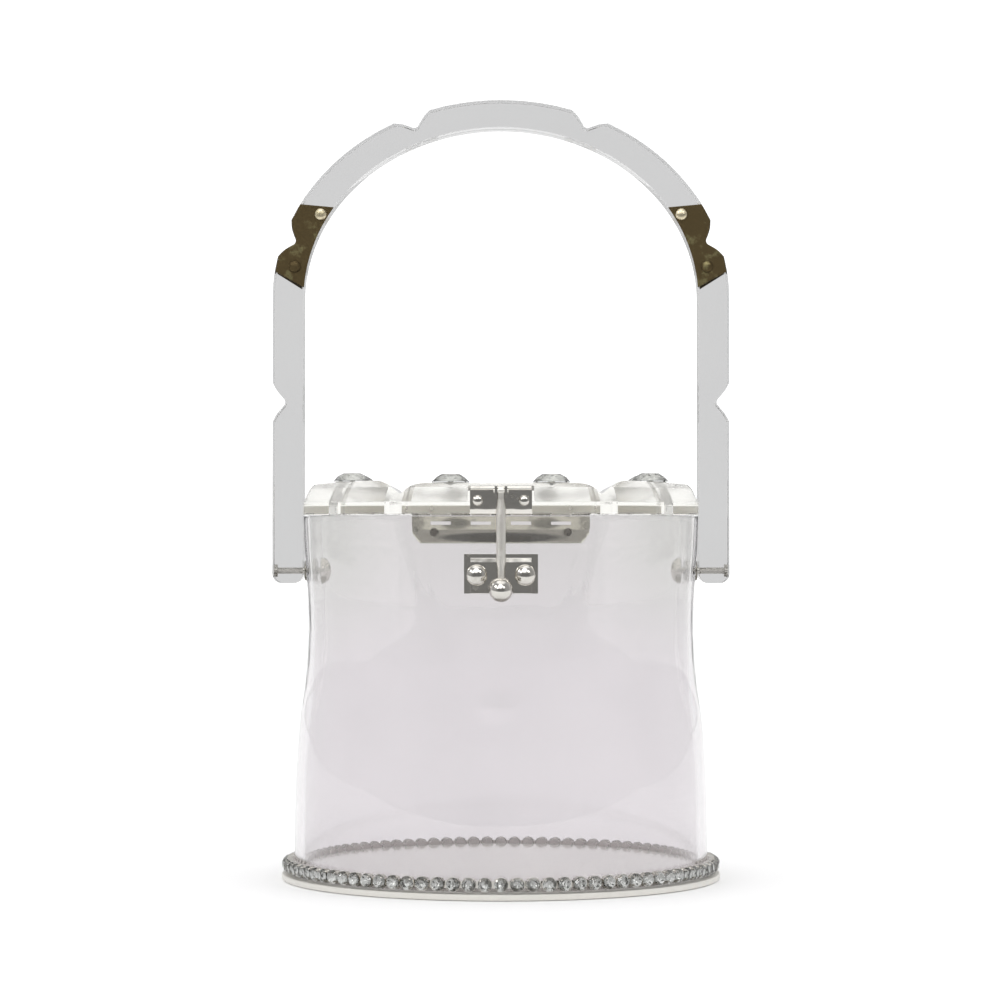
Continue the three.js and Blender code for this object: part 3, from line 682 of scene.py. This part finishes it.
def nickel(name, bright, dull, blur=0.07, ripple=0.12, painted_ovals=(), metallic=1.0):
    """Polished nickel plate with dulled patches, fine rub marks and a hand-polished ripple.

    A painted oval is painted shade: an oval darkened all over, given by its middle and its half sizes.
    """
    material, wire, place = finish_of(name)
    patches = noise(wire, place, 260.0, 6.0, 0.6).ranged(0.50, 0.74)
    dulled = patches * 0.55
    # Painted shade: each oval darkens the plate all over
    for painted_oval in painted_ovals:
        middle, half = (Vector(size) * MM for size in painted_oval)
        around = wire.make("Mapping", {"vector_type": "TEXTURE"}, Vector=place, Location=middle, Scale=half)
        away = wire.make("VectorMath", {"operation": "LENGTH"}, output="Value", _0=around)
        dulled = dulled.maths("MAXIMUM", dulled, away.ranged(0.7, 1.05, 1.0, 0.0))
    colour = dulled.between(rgba(bright), rgba(dull))
    across = wire.make("Mapping", Vector=place, Scale=(180.0, 180.0, 2600.0))
    rubs = noise(wire, across, 1.0, 3.0)
    gloss = blur + patches * 0.16 + rubs * 0.07
    waves = noise(wire, place, 150.0, 1.5)
    bump = wire.make("Bump", Strength=ripple, Distance=0.0006, Height=waves + rubs * 0.02)
    return surfaced(material, wire, Base_Color=colour, Metallic=metallic, Roughness=gloss, Normal=bump)


def aged_brass(name, dark, worn, wear):
    """Dark tarnished brass, rubbed brighter in patches."""
    material, wire, place = finish_of(name)
    patches = noise(wire, place, 210.0, 7.0, 0.62)
    rubbed = patches.ranged(0.62 - wear, 0.80 - wear)
    colour = rubbed.between(rgba(dark), rgba(worn))
    grain = noise(wire, place, 1400.0, 3.0)
    gloss = 0.52 - rubbed * 0.22 + grain * 0.08
    bump = wire.make("Bump", Strength=0.18, Distance=0.0002, Height=patches + grain * 0.4)
    return surfaced(material, wire, Base_Color=colour, Metallic=1.0, Roughness=gloss, Normal=bump)


def crystal(name, tint):
    """Cut glass, with the odd smudge on its facets."""
    material, wire, place = finish_of(name)
    smudge = noise(wire, place, 420.0, 4.0).ranged(0.55, 0.75)
    colour = smudge.between(rgba(tint), rgba(tint, 0.96))
    return surfaced(
        material, wire, Base_Color=colour, Roughness=smudge * 0.05, IOR=1.6, Transmission_Weight=1.0)


def foil(name, tint):
    """Silvering on the back of a stone, slightly uneven."""
    material, wire, place = finish_of(name)
    spots = noise(wire, place, 900.0, 4.0).ranged(0.45, 0.75)
    colour = spots.between(rgba(tint), rgba(tint, 0.72))
    return surfaced(material, wire, Base_Color=colour, Metallic=1.0, Roughness=0.05 + spots * 0.12)


def pale_floor(name, tint):
    material, wire, place = finish_of(name)
    shade = noise(wire, place, 3.0, 2.0).ranged(0.3, 0.7).between(rgba(tint, 0.99), rgba(tint))
    return surfaced(material, wire, Base_Color=shade, Roughness=0.7)


def finish(name, make, *values):
    """The material of that name, made once."""
    return bpy.data.materials.get(name) or make(name, *values)


def metal(context, name):
    """One of the metal finishes, by its name."""
    colours = context.scene.bag_colours
    bright, dull, leaf = colours.nickel, colours.tarnish, colours.leaf
    pale = shaded(bright, 1.4)
    finishes = {
        "nickel_plate": (nickel, bright, dull),
        "chain_silver": (nickel, shaded(bright, 0.8), dull),
        "pressed_nickel": (nickel, shaded(bright, 1.1), dull, 0.1, 0.4),
        "satin_nickel": (nickel, shaded(bright, 1.15), bright, 0.36, 0.06),
        # Pale, partly matt nickel, brighter than the plate: a painted highlight on the upper knuckles and the
        # backs of the chain cups
        "frosted_nickel": (nickel, pale, pale, 0.3, 0.06, (), 0.4),
        # Hinge nickel, brighter than the plate as a painted highlight; its ovals are painted shade
        "leaf_nickel": (nickel, leaf, shaded(leaf, 0.31), 0.12, 0.06, LEAF_PAINTED_SHADE),
        # Dark nickel: dull metal on the spacers and lower rivets, painted shadow on the lower leaf's knuckles
        "dulled_nickel": (nickel, shaded(dull, 0.65), shaded(dull, 0.4), 0.22),
        "old_brass": (aged_brass, colours.brass_dark, colours.brass_worn, 0.08),
        "rubbed_brass": (aged_brass, colours.brass_worn, colours.brass_rubbed_highlight, 0.3),
    }
    return finish(name, *finishes[name])


# Pieces


def rivet_profile(head, height, shank, length, tail=0.0, tail_height=0.0):
    """Domed head at the seat, with the shank running back from it."""
    profile = [(0, -length)]
    if tail:
        profile += [(tail * 0.9, -length), (tail, 0.4 * tail_height - length), (tail, tail_height - length)]
    profile += [(shank, tail_height - length), (shank, 0), (head, 0), (head, 0.12 * height)]
    for turn in range(15, 91, 15):
        angle = math.radians(turn)
        profile.append((head * math.cos(angle), height * (0.12 + 0.88 * math.sin(angle))))
    return profile


def cut_stone(name, radius, table, crown, girdle, culet):
    """A round stone in local millimetres, with its girdle at the given heights and eight stars on top."""
    rings = (
        (8, table, crown, 0.0), (8, 0.8 * radius, girdle[1] + 0.57 * (crown - girdle[1]), 22.5),
        (16, radius, girdle[1], 0.0), (16, radius, girdle[0], 0.0),
        (8, 0.05 * radius, culet, 22.5),
    )
    fresh()
    bpy.ops.mesh.primitive_circle_add(vertices=3, radius=0.02 * radius * MM, location=(0, 0, culet * MM))
    piece = placed(name)
    edit(piece)
    for count, size, height, turn in rings:
        bpy.ops.mesh.primitive_circle_add(
            vertices=count, radius=size * MM, location=(0, 0, height * MM),
            rotation=(0, 0, math.radians(turn)))
    everything()
    bpy.ops.mesh.convex_hull()
    everything()
    bpy.ops.mesh.dissolve_limited(angle_limit=math.radians(0.6))
    return close(piece)


def foil_back(piece, below, glass, back):
    """Glass above, silvering on the facets that lie below a height in millimetres."""
    piece.data.materials.append(glass)
    piece.data.materials.append(back)
    finish_faces(piece, lambda face: face.center.z < below * MM)


class BAG_OT_base_disc(bpy.types.Operator):
    """Turns the clear base disc, with its flange and the plug that stands in the body"""

    bl_idname = "bag.base_disc"
    bl_label = "Base Disc"

    def execute(self, context):
        flange = context.scene.bag_sizes.flange / MM
        profile = (
            (0, 0), (flange - 0.5, 0), (flange - 0.15, 0.15), (flange, 0.5), (flange, FLANGE_TOP - 0.3),
            (flange - 0.3, FLANGE_TOP), (PLUG_RADIUS + 0.2, FLANGE_TOP), (PLUG_RADIUS, FLANGE_TOP + 0.2),
            (PLUG_RADIUS, PLUG_TOP - 0.3), (PLUG_RADIUS - 0.3, PLUG_TOP), (0, PLUG_TOP),
        )
        piece = turned("base_disc_clear", profile, Vector(), Z_AXIS, 144)
        tint = context.scene.bag_colours.base
        clear = finish("clear_base", acrylic, tint, None, 0.0, 0.1, 0.7)
        rim = finish("clear_flange", acrylic, shaded(tint, 1.12), None, 0.0, 0.45, 0.2)
        settle(piece, "bag", [clear, rim], ["base_disc"])
        finish_faces(piece, lambda face: face.center.xy.length > (PLUG_RADIUS + 0.1) * MM)
        return {"FINISHED"}


class BAG_OT_stone_chain(bpy.types.Operator):
    """Models one cup and one stone of the chain and copies them round the foot"""

    bl_idname = "bag.stone_chain"
    bl_label = "Stone Chain"

    def cup(self):
        parts = [turned("chain_cups", CUP_PROFILE, Vector(), Z_AXIS, 16)]
        for turn in (45, 135, 225, 315):
            prong = block("prong", *PRONG)
            shape(prong, lambda p: p - X_AXIS * 0.6 * MM if p.z > 2 * MM else p)
            prong.rotation_euler.z = math.radians(turn)
            parts.append(rounded(prong, 0.1 * MM, 1))
        parts.append(block("link", *LINK))
        take(*parts)
        bpy.ops.object.transform_apply(location=True, rotation=True, scale=True)
        return joined("chain_cups", parts)

    def ring_of(self, context, pattern, lean):
        """Copies of the pattern all round the foot, in one mesh."""
        sizes = context.scene.bag_sizes
        draw = random.Random(7)
        level = (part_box("rhinestone_chain")[0].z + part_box("rhinestone_chain")[1].z) / 2
        outwards = Matrix.Translation((0, -sizes.chain_back, level)) @ Matrix.Rotation(math.pi / 2, 4, "X")
        copies = [pattern]
        for i in range(sizes.chain_stones):
            if i:
                take(pattern)
                bpy.ops.object.duplicate()
                copies.append(bpy.context.object)
            turn = Matrix.Rotation(math.tau * i / sizes.chain_stones, 4, "Z")
            tilt = Matrix.Rotation(draw.uniform(-lean, lean), 4, "X")
            tilt = tilt @ Matrix.Rotation(draw.uniform(-lean, lean), 4, "Y")
            tilt = tilt @ Matrix.Rotation(draw.uniform(-math.pi, math.pi) * (lean > 0), 4, "Z")
            centre = Matrix.Translation((0, 0, STONE_GIRDLE * MM))
            copies[-1].matrix_world = turn @ outwards @ centre @ tilt @ centre.inverted()
        return joined(pattern.name, copies)

    def execute(self, context):
        colours = context.scene.bag_colours
        cups = self.ring_of(context, self.cup(), 0.0)
        silver, painted_bright = metal(context, "chain_silver"), metal(context, "frosted_nickel")
        settle(cups, "bag", [silver, painted_bright], ["rhinestone_chain"])
        # Faces turned inwards, the backs of the cups, get the pale nickel: a painted highlight
        finish_faces(cups, lambda face: face.normal.xy.dot(face.center.xy) < -0.7 * face.center.xy.length)
        stone = cut_stone("chain_stones", 2.15, 1.2, 3.45, (2.05, 2.2), 1.05)
        glass = finish("crystal", crystal, colours.crystal)
        foil_back(stone, 2.0, glass, finish("chain_foil", foil, shaded(colours.foil, 0.62)))
        stones = self.ring_of(context, stone, context.scene.bag_sizes.chain_tilt)
        settle(stones, "bag", [], ["rhinestone_chain"], 3.0)
        return {"FINISHED"}


class BAG_OT_body_shell(bpy.types.Operator):
    """Draws the clear wall up from a ring, flattens it towards the mouth and gives it its thickness"""

    bl_idname = "bag.body_shell"
    bl_label = "Body Shell"

    def execute(self, context):
        bottom, top = SECTIONS[0][0], SECTIONS[-1][0]
        fresh()
        bpy.ops.mesh.primitive_cylinder_add(
            vertices=OUTLINE_STEPS, radius=60 * MM, depth=(top - bottom) * MM, end_fill_type="NOTHING",
            location=(0, 0, (top + bottom) / 2 * MM))
        piece = placed("body_shell_clear")
        pick_edges(piece, lambda a, b: abs(a.z - b.z) > MM)
        bpy.ops.mesh.subdivide(number_cuts=47)
        shape(piece, lambda p: lobed(p, section_at(p.z / MM), BODY_ROUNDING))
        wall, colours = context.scene.bag_sizes.wall, context.scene.bag_colours
        modify(piece, "SOLIDIFY", thickness=wall, offset=-1.0, use_even_offset=True)
        shape(piece, lambda p: Vector((p.x, p.y, min(max(p.z, bottom * MM), top * MM))))
        rounded(piece, 0.3 * MM, 2, 60)
        # The last colour is the painted shade towards the mouth
        clear = finish("clear_body", acrylic, colours.body, colours.depth, 14.0, 0.01, 1.0, colours.mouth)
        settle(piece, "bag", [clear], ["body_shell"])
        return {"FINISHED"}


class BAG_OT_lid(bpy.types.Operator):
    """Draws up the lobed lid, cuts its grooved top and sinks the seats of the stones"""

    bl_idname = "bag.lid"
    bl_label = "Lid"

    def execute(self, context):
        fresh()
        bpy.ops.mesh.primitive_circle_add(
            vertices=OUTLINE_STEPS, radius=60 * MM, fill_type="NGON", location=(0, 0, LID_RINGS[0][0] * MM))
        piece = placed("lid_clear")
        edit(piece)
        everything()
        for (low, _), (high, _) in zip(LID_RINGS, LID_RINGS[1:]):
            bpy.ops.mesh.extrude_region_move(TRANSFORM_OT_translate={"value": Z_AXIS * (high - low) * MM})
        insets = {round(height, 2): inset for height, inset in LID_RINGS}
        shape(piece, lambda p: lobed(p, LID_PLAN, LID_ROUNDING, insets[round(p.z / MM, 2)]))
        close(piece)
        merge(piece, block("clasp_seat", *CLASP_SEAT), "UNION")
        half = [*through(LID_CROWN, 4)[1:-1], *through(LID_SIDE, 4)]
        edge, below = LID_SIDE[-1][0], LID_RINGS[0][0] - 1.3
        outline = [(-x, z) for x, z in reversed(half)] + half + [(edge, below), (-edge, below)]
        merge(piece, slab("lid_top", upright(outline, -70), BACKWARDS * 140 * MM), "INTERSECT")
        seats = [turned("seat", STONE_SEAT, Vector(at) * MM, Z_AXIS) for at in STONE_PLACES.values()]
        merge(piece, joined("seats", seats), "DIFFERENCE")
        tint = context.scene.bag_colours.lid
        # The bevel faces get a rougher satin finish, and its lighter tint is a painted highlight
        satin = finish("satin_lid", acrylic, shaded(tint, 1.06), None, 0.0, 0.2)
        settle(piece, "lid", [finish("clear_lid", acrylic, tint), satin], ["lid"], 12.0)

        def bevelled(face):
            outwards = face.normal.xy.dot(face.center.xy.normalized())
            return outwards > 0.2 and face.normal.z > 0.1 and face.center.xy.length > LID_BEVEL_FROM * MM

        finish_faces(piece, bevelled)
        return {"FINISHED"}


class BAG_OT_lid_stones(bpy.types.Operator):
    """Cuts one large stone and copies it into the seats of the lid"""

    bl_idname = "bag.lid_stones"
    bl_label = "Lid Stones"

    def execute(self, context):
        colours = context.scene.bag_colours
        radius = context.scene.bag_sizes.stone / MM
        pattern = cut_stone("stone", radius, 0.5 * radius, 2.9, (0.3, 0.65), -2.7)
        glass = finish("crystal", crystal, colours.crystal)
        foil_back(pattern, 0.2, glass, finish("silver_foil", foil, shaded(colours.foil, 0.72)))
        for i, (name, place) in enumerate(STONE_PLACES.items()):
            take(pattern)
            bpy.ops.object.duplicate()
            piece = named(f"lid_stone_{name}_cut")
            piece.location = Vector(place) * MM
            piece.rotation_euler.z = math.radians(11 * i)
            settle(piece, "lid", [], [f"lid_stone_{name}"], 3.0)
        bpy.data.objects.remove(pattern, do_unlink=True)
        return {"FINISHED"}


class BAG_OT_hinge(bpy.types.Operator):
    """Models the two leaves of the hinge with their knuckles, the pin and the rivets"""

    bl_idname = "bag.hinge"
    bl_label = "Hinge"

    def eased(self, plate):
        """Leans the top of the lower leaf back and chamfers its lower edges."""
        merge(plate, drawn_across("lean", LEAF_LEAN, 31), "DIFFERENCE")
        front, foot = (LEAF_Y[0] + 0.01) * MM, (LOWER_LEAF[2][1] + 0.1) * MM
        pick_edges(plate, lambda a, b: max(a.y, b.y) < front and max(a.z, b.z) < foot)
        bpy.ops.mesh.bevel(offset=LEAF_CHAMFER * MM, segments=1)
        fresh()

    def leaf(self, context, name, outline, first):
        depth = BACKWARDS * (LEAF_Y[1] - LEAF_Y[0]) * MM
        plate = slab(name, upright(outline, LEAF_Y[0]), depth)
        pitch = HINGE_LENGTH / KNUCKLES
        if first == 0:
            self.eased(plate)
            for knuckle in range(1, KNUCKLES, 2):
                start = knuckle * pitch - HINGE_LENGTH / 2
                low, high = LEAF_NOTCH
                merge(plate, block("notch", (start, 58, low), (start + pitch, 61, high)), "DIFFERENCE")
        y, z = HINGE_AXIS
        barrels = []
        for knuckle in range(first, KNUCKLES, 2):
            start = knuckle * pitch - HINGE_LENGTH / 2 + 0.15
            end = start + pitch - 0.3
            barrels.append(rod("barrel", BARREL, (start, y, z), (end, y, z), 28))
            low, high = sorted((z, outline[0][1] + 0.2 * (outline[0][1] - z)))
            barrels.append(block("tongue", (start, LEAF_Y[0], low), (end, LEAF_Y[1], high)))
        for part in barrels:
            merge(plate, part, "UNION")
        rounded(plate, context.scene.bag_sizes.plate_edge, 2, 40)
        return plate

    def execute(self, context):
        plate, dull = metal(context, "nickel_plate"), metal(context, "dulled_nickel")
        rivets = {"lower": LOWER_RIVET, "upper": UPPER_RIVET}
        lower = self.leaf(context, "hinge_leaf_lower_plate", LOWER_LEAF, 0)
        sides = [metal(context, "leaf_nickel"), dull, plate]
        settle(lower, "bag", sides, ["hinge_leaf_lower"], 13.5)
        # Back faces get the plate, the knuckles the dark nickel as painted shadow, the rest the hinge nickel
        finish_faces(lower, lambda face: 2 if face.normal.y > 0.3 else face.center.z > SHADED_KNUCKLES_FROM * MM)
        upper = self.leaf(context, "hinge_leaf_upper_plate", UPPER_LEAF, 1)
        # The upper leaf and its knuckles get the pale nickel as a painted highlight, the back faces the plate
        sides = [metal(context, "frosted_nickel"), plate]
        settle(upper, "lid", sides, ["hinge_leaf_upper"])
        finish_faces(upper, lambda face: face.normal.y > 0.3)
        y, z = HINGE_AXIS
        pin = rod("hinge_pin_rod", 0.5, (-HINGE_LENGTH / 2, y, z), (HINGE_LENGTH / 2, y, z), 16)
        settle(pin, "bag", [plate], ["hinge_pin"])
        profiles = {
            "lower": rivet_profile(1.7, 1.0, 0.8, 7.8, 1.4, 0.6),
            "upper": rivet_profile(1.0, 0.7, 0.7, 4.0),
        }
        for row, body in (("lower", "bag"), ("upper", "lid")):
            for side, sign in SIDES:
                x, height = rivets[row]
                seat = Vector((sign * x, LEAF_Y[1] + 0.05, height)) * MM
                name = f"hinge_rivet_{row}_{side}"
                piece = turned(f"{name}_head", profiles[row], seat, BACKWARDS, 24)
                settle(piece, body, [dull if row == "lower" else plate], [name])
        return {"FINISHED"}


class BAG_OT_clasp_plates(bpy.types.Operator):
    """Models the two plates of the clasp with their rivets and domed studs"""

    bl_idname = "bag.clasp_plates"
    bl_label = "Clasp Plates"

    def execute(self, context):
        plate, pressed = metal(context, "nickel_plate"), metal(context, "pressed_nickel")
        edge = context.scene.bag_sizes.plate_edge
        upper = drawn_across("clasp_plate_upper_hasp", HASP, HASP_HALF)
        for ear in EARS:
            merge(upper, block("ear", *ear), "UNION")
        merge(upper, block("slot", *SLOT), "DIFFERENCE")
        reach, y, z = LIP
        merge(upper, rod("lip", 0.6, (-reach, y, z), (reach, y, z)), "UNION")
        rounded(upper, edge, 2, 40)
        settle(upper, "lid", [pressed], ["clasp_plate_upper"], 25.0)

        lower = block("clasp_plate_lower_stud_plate", *STUD_PLATE)
        merge(lower, drawn_across("pad", PAD, PAD_HALF), "UNION")
        rounded(lower, edge, 2, 40)
        settle(lower, "bag", [pressed], ["clasp_plate_lower"], 8.0)

        heads = rivet_profile(1.6, 0.9, 0.8, 4.0)
        studs = rivet_profile(3.2, 2.4, 1.2, 6.0, 2.4, 0.8)
        for side, sign in SIDES:
            x, y, z = CLASP_RIVET
            seat = Vector((sign * x, y, z)) * MM
            piece = turned(f"clasp_rivet_{side}_head", heads, seat, FORWARDS, 32)
            settle(piece, "lid", [plate], [f"clasp_rivet_{side}"])
            x, y, z = STUD
            seat = Vector((sign * x, y, z)) * MM
            piece = turned(f"clasp_stud_{side}_dome", studs, seat, FORWARDS, 48)
            settle(piece, "bag", [plate], [f"clasp_stud_{side}"])
        return {"FINISHED"}


class BAG_OT_clasp_lever(bpy.types.Operator):
    """Models the lever of the clasp with its eye and ball, and the pin that it turns on"""

    bl_idname = "bag.clasp_lever"
    bl_label = "Clasp Lever"

    def execute(self, context):
        plate, satin = metal(context, "nickel_plate"), metal(context, "satin_nickel")
        bottom, top = LEVER_BAR[0][0], LEVER_BAR[-1][0]
        fresh()
        bpy.ops.mesh.primitive_cylinder_add(
            vertices=32, radius=MM, depth=(top - bottom) * MM, location=(0, 0, (top + bottom) / 2 * MM))
        lever = placed("clasp_lever_bar")
        pick_edges(lever, lambda a, b: abs(a.z - b.z) > MM)
        bpy.ops.mesh.subdivide(number_cuts=30)

        def taper(p):
            height = p.z / MM
            rows = list(zip(LEVER_BAR, LEVER_BAR[1:]))
            low, high = next((pair for pair in rows if height <= pair[1][0]), rows[-1])
            t = smoothstep(low[0], high[0], height)
            wide, deep = (low[k] + (high[k] - low[k]) * t for k in (1, 2))
            return Vector((p.x * wide, p.y * deep + LEVER_BAR_Y * MM, p.z))

        shape(lever, taper)
        y, z = LEVER_PIVOT
        merge(lever, block("neck", *LEVER_NECK), "UNION")
        merge(lever, rod("eye", 1.5, (-0.8, y, z), (0.8, y, z)), "UNION")
        ball_y, ball_z, radius = LEVER_BALL
        turns = [math.radians(a) for a in range(0, 181, 6)]
        arc = [(radius * math.sin(turn), -radius * math.cos(turn)) for turn in turns]
        ball = turned("ball", arc, Vector((0, ball_y, ball_z)) * MM, Z_AXIS, 48)
        merge(lever, ball, "UNION")
        merge(lever, rod("bore", 0.8, (-2, y, z), (2, y, z)), "DIFFERENCE")
        settle(lever, "lever", [satin, plate], ["clasp_lever"])
        finish_faces(lever, lambda face: face.center.z < (ball_z + 0.9 * radius) * MM)
        pin = rod("lever_pin_rod", 0.6, (-2.3, y, z), (2.3, y, z), 24)
        settle(rounded(pin, 0.12 * MM, 2), "lid", [plate], ["lever_pin"])
        return {"FINISHED"}


class BAG_OT_handle(bpy.types.Operator):
    """Cuts the clear bow handle from its notched outline and eases its edges"""

    bl_idname = "bag.handle"
    bl_label = "Handle"

    def execute(self, context):
        sizes = context.scene.bag_sizes
        depth = sizes.handle_depth / MM
        piece = slab("handle_clear", upright(handle_outline(), -depth / 2), BACKWARDS * sizes.handle_depth)
        rounded(piece, sizes.handle_edge, 2, 50)
        clear = finish("clear_handle", acrylic, context.scene.bag_colours.handle)
        settle(piece, "handle", [clear], ["handle"])
        return {"FINISHED"}


class BAG_OT_handle_plates(bpy.types.Operator):
    """Models the aged brass plates on the handle's shoulders and the rivets through them"""

    bl_idname = "bag.handle_plates"
    bl_label = "Handle Plates"

    def execute(self, context):
        brass, rubbed = metal(context, "old_brass"), metal(context, "rubbed_brass")
        half = context.scene.bag_sizes.handle_depth / 2 / MM
        seat = half + PLATE_GAP + PLATE_THICKNESS
        start, end = (arch(HANDLE_OUTER, turn) for turn in PLATE_OUTER)
        rim = [start, *arch_notch(SHOULDER_NOTCH), end]
        outlines = {
            face: [*rim, *arch_span([size + inset for size in HANDLE_INNER], *PLATE_INNER, 12)]
            for face, inset in PLATE_INSET.items()
        }
        for side, sign in SIDES:
            for face, y in (("front", -seat), ("back", half + PLATE_GAP)):
                points = upright([(sign * p.x * PLATE_SHRINK, p.y) for p in outlines[face]], y)
                name = f"handle_plate_{side}_{face}"
                piece = slab(f"{name}_brass", points, BACKWARDS * PLATE_THICKNESS * MM)
                settle(rounded(piece, 0.14 * MM, 2, 50), "handle", [brass], [name])
            for level, (x, z) in PLATE_RIVETS.items():
                profile = rivet_profile(1.9, 1.0, 0.9, 2 * seat + 0.8, 1.9, 0.8)
                name = f"handle_rivet_{side}_{level}"
                piece = turned(f"{name}_brass", profile, Vector((sign * x, -seat, z)) * MM, FORWARDS, 28)
                # Upper rivets: rubbed brass with a painted highlight
                settle(piece, "handle", [rubbed if level == "upper" else brass], [name])
        return {"FINISHED"}


class BAG_OT_handle_pivots(bpy.types.Operator):
    """Turns the screws, spacers and domed nuts that the handle swings on"""

    bl_idname = "bag.handle_pivots"
    bl_label = "Handle Pivots"

    def execute(self, context):
        plate = metal(context, "nickel_plate")
        metals = {"screw": plate, "spacer": metal(context, "dulled_nickel"), "nut": plate}
        place = Z_AXIS * PIVOT_Z * MM
        turns = [math.radians(a) for a in range(90, -1, -10)]
        dome = [(4.2 * math.cos(turn), 57.3 - 2.8 * math.sin(turn)) for turn in turns]
        profiles = {
            "screw": (
                (0, 56.4), (1, 56.4), (1, 71.2), (1.9, 71.2), (2, 71.3), (2, 72.3), (1.9, 72.4), (0, 72.4)),
            "spacer": (
                (1.3, 61.8), (3.0, 61.8), (3.2, 62.0), (3.2, 62.5), (3.0, 62.7), (1.3, 62.7), (1.3, 61.8)),
            "nut": (*dome, (4.2, 57.6), (4.1, 57.7), (1.3, 57.7), (1.3, 56.2), (0, 56.2)),
        }
        for side, sign in SIDES:
            for kind, profile in profiles.items():
                piece = turned(f"pivot_{kind}_{side}_turned", profile, place, X_AXIS * sign, 40)
                settle(piece, "bag", [metals[kind]], [f"pivot_{kind}_{side}"])
        return {"FINISHED"}


class BAG_OT_stage(bpy.types.Operator):
    """Sets the pale floor, the soft studio light and the camera"""

    bl_idname = "bag.stage"
    bl_label = "Stage"

    def lamp(self, name, place, aim, width, height, power):
        fresh()
        bpy.ops.object.light_add(type="AREA", location=place)
        lamp = named(name)
        lamp.data.shape = "RECTANGLE"
        lamp.data.size = width
        lamp.data.size_y = height
        lamp.data.energy = power
        lamp.rotation_euler = (Vector(aim) - Vector(place)).to_track_quat("-Z", "Y").to_euler()

    def room(self, context):
        """White all round, with a dimmer room and soft lights for the metal to mirror."""
        world = context.scene.world or bpy.data.worlds.new("Studio")
        context.scene.world = world
        world.use_nodes = True
        world.node_tree.nodes.clear()
        wire = Wire(world.node_tree)
        towards = wire.make("SeparateXYZ", Vector=wire.make("TexCoord"))
        ahead, up = towards.also("Y"), towards.also("Z")
        glow = 0.2 + up.ranged(0.8, 0.95) * 0.9
        glow = glow + ahead.ranged(-0.92, -0.6) * 0.2 + ahead.ranged(-0.1, 0.4) * 0.3
        for direction, inner, outer, strength in STUDIO_LIGHTS:
            facing = wire.make(
                "VectorMath", {"operation": "DOT_PRODUCT"}, output="Value", _0=wire.make("TexCoord"),
                _1=Vector(direction).normalized())
            glow = glow + facing.ranged(outer, inner) * strength
        path = wire.make("LightPath", output="Glossy Depth")
        mirrored = path.maths("MINIMUM", path, 1.0) * (1.0 - path.also("Is Diffuse Ray"))
        mirrored = mirrored * (1.0 - path.also("Is Transmission Ray") * ahead.ranged(-0.7, -0.3, 0.62, 1.0))
        plain = 1.3 - path.also("Is Transmission Ray") * 0.13
        light = plain + mirrored * (glow - plain)
        wire.make("OutputWorld", Surface=wire.make("Background", Color=(1, 1, 1, 1), Strength=light))

    def execute(self, context):
        fresh()
        bpy.ops.mesh.primitive_plane_add(size=1, location=(0, 0, 0), scale=(1, 1, 1))
        floor = named("floor")
        shape(floor, lambda p: Vector((p.x * 6, p.y * 4.65 + 1.875, -0.0002)))
        floor.data.materials.append(finish("floor", pale_floor, context.scene.bag_colours.floor))
        self.lamp("top_light", (-0.15, -0.1, 1.3), (0, 0, 0.1), 0.9, 0.9, 0.5)
        self.lamp("left_light", (-1.1, -0.7, 0.8), (0, 0, 0.12), 0.7, 0.9, 0.5)
        self.room(context)
        fresh()
        bpy.ops.object.camera_add(location=CAMERA_PLACE, rotation=(math.radians(CAMERA_TILT), 0, 0))
        camera = named("camera")
        camera.data.sensor_width = 36
        camera.data.lens = CAMERA_LENS
        camera.data.clip_start = 0.01
        context.scene.camera = camera
        context.scene.view_settings.view_transform = "Standard"
        context.scene.cycles.max_bounces = 24
        context.scene.cycles.glossy_bounces = 16
        context.scene.cycles.transmission_bounces = 24
        return {"FINISHED"}


PIECES = (
    BAG_OT_base_disc, BAG_OT_stone_chain, BAG_OT_body_shell, BAG_OT_lid, BAG_OT_lid_stones, BAG_OT_hinge,
    BAG_OT_clasp_plates, BAG_OT_clasp_lever, BAG_OT_handle, BAG_OT_handle_plates, BAG_OT_handle_pivots,
    BAG_OT_stage,
)


class BAG_PT_pieces(bpy.types.Panel):
    """Lists the bag's sizes, colours and pieces"""

    bl_idname = "BAG_PT_pieces"
    bl_label = "Clear Box Bag"
    bl_space_type = "VIEW_3D"
    bl_region_type = "UI"
    bl_category = "Box Bag"

    def draw(self, context):
        for group in (context.scene.bag_sizes, context.scene.bag_colours):
            box = self.layout.box()
            for key in group.__annotations__:
                box.prop(group, key)
        for piece in PIECES:
            self.layout.operator(piece.bl_idname)


CLASSES = (BagSizes, BagColours, *PIECES, BAG_PT_pieces)


def register():
    for cls in CLASSES:
        bpy.utils.register_class(cls)
    bpy.types.Scene.bag_sizes = PointerProperty(type=BagSizes)
    bpy.types.Scene.bag_colours = PointerProperty(type=BagColours)


def unregister():
    del bpy.types.Scene.bag_colours
    del bpy.types.Scene.bag_sizes
    for cls in reversed(CLASSES):
        bpy.utils.unregister_class(cls)


def main():
    register()
    for piece in PIECES:
        group, name = piece.bl_idname.split(".")
        getattr(getattr(bpy.ops, group), name)()


if __name__ == "__main__":
    main()
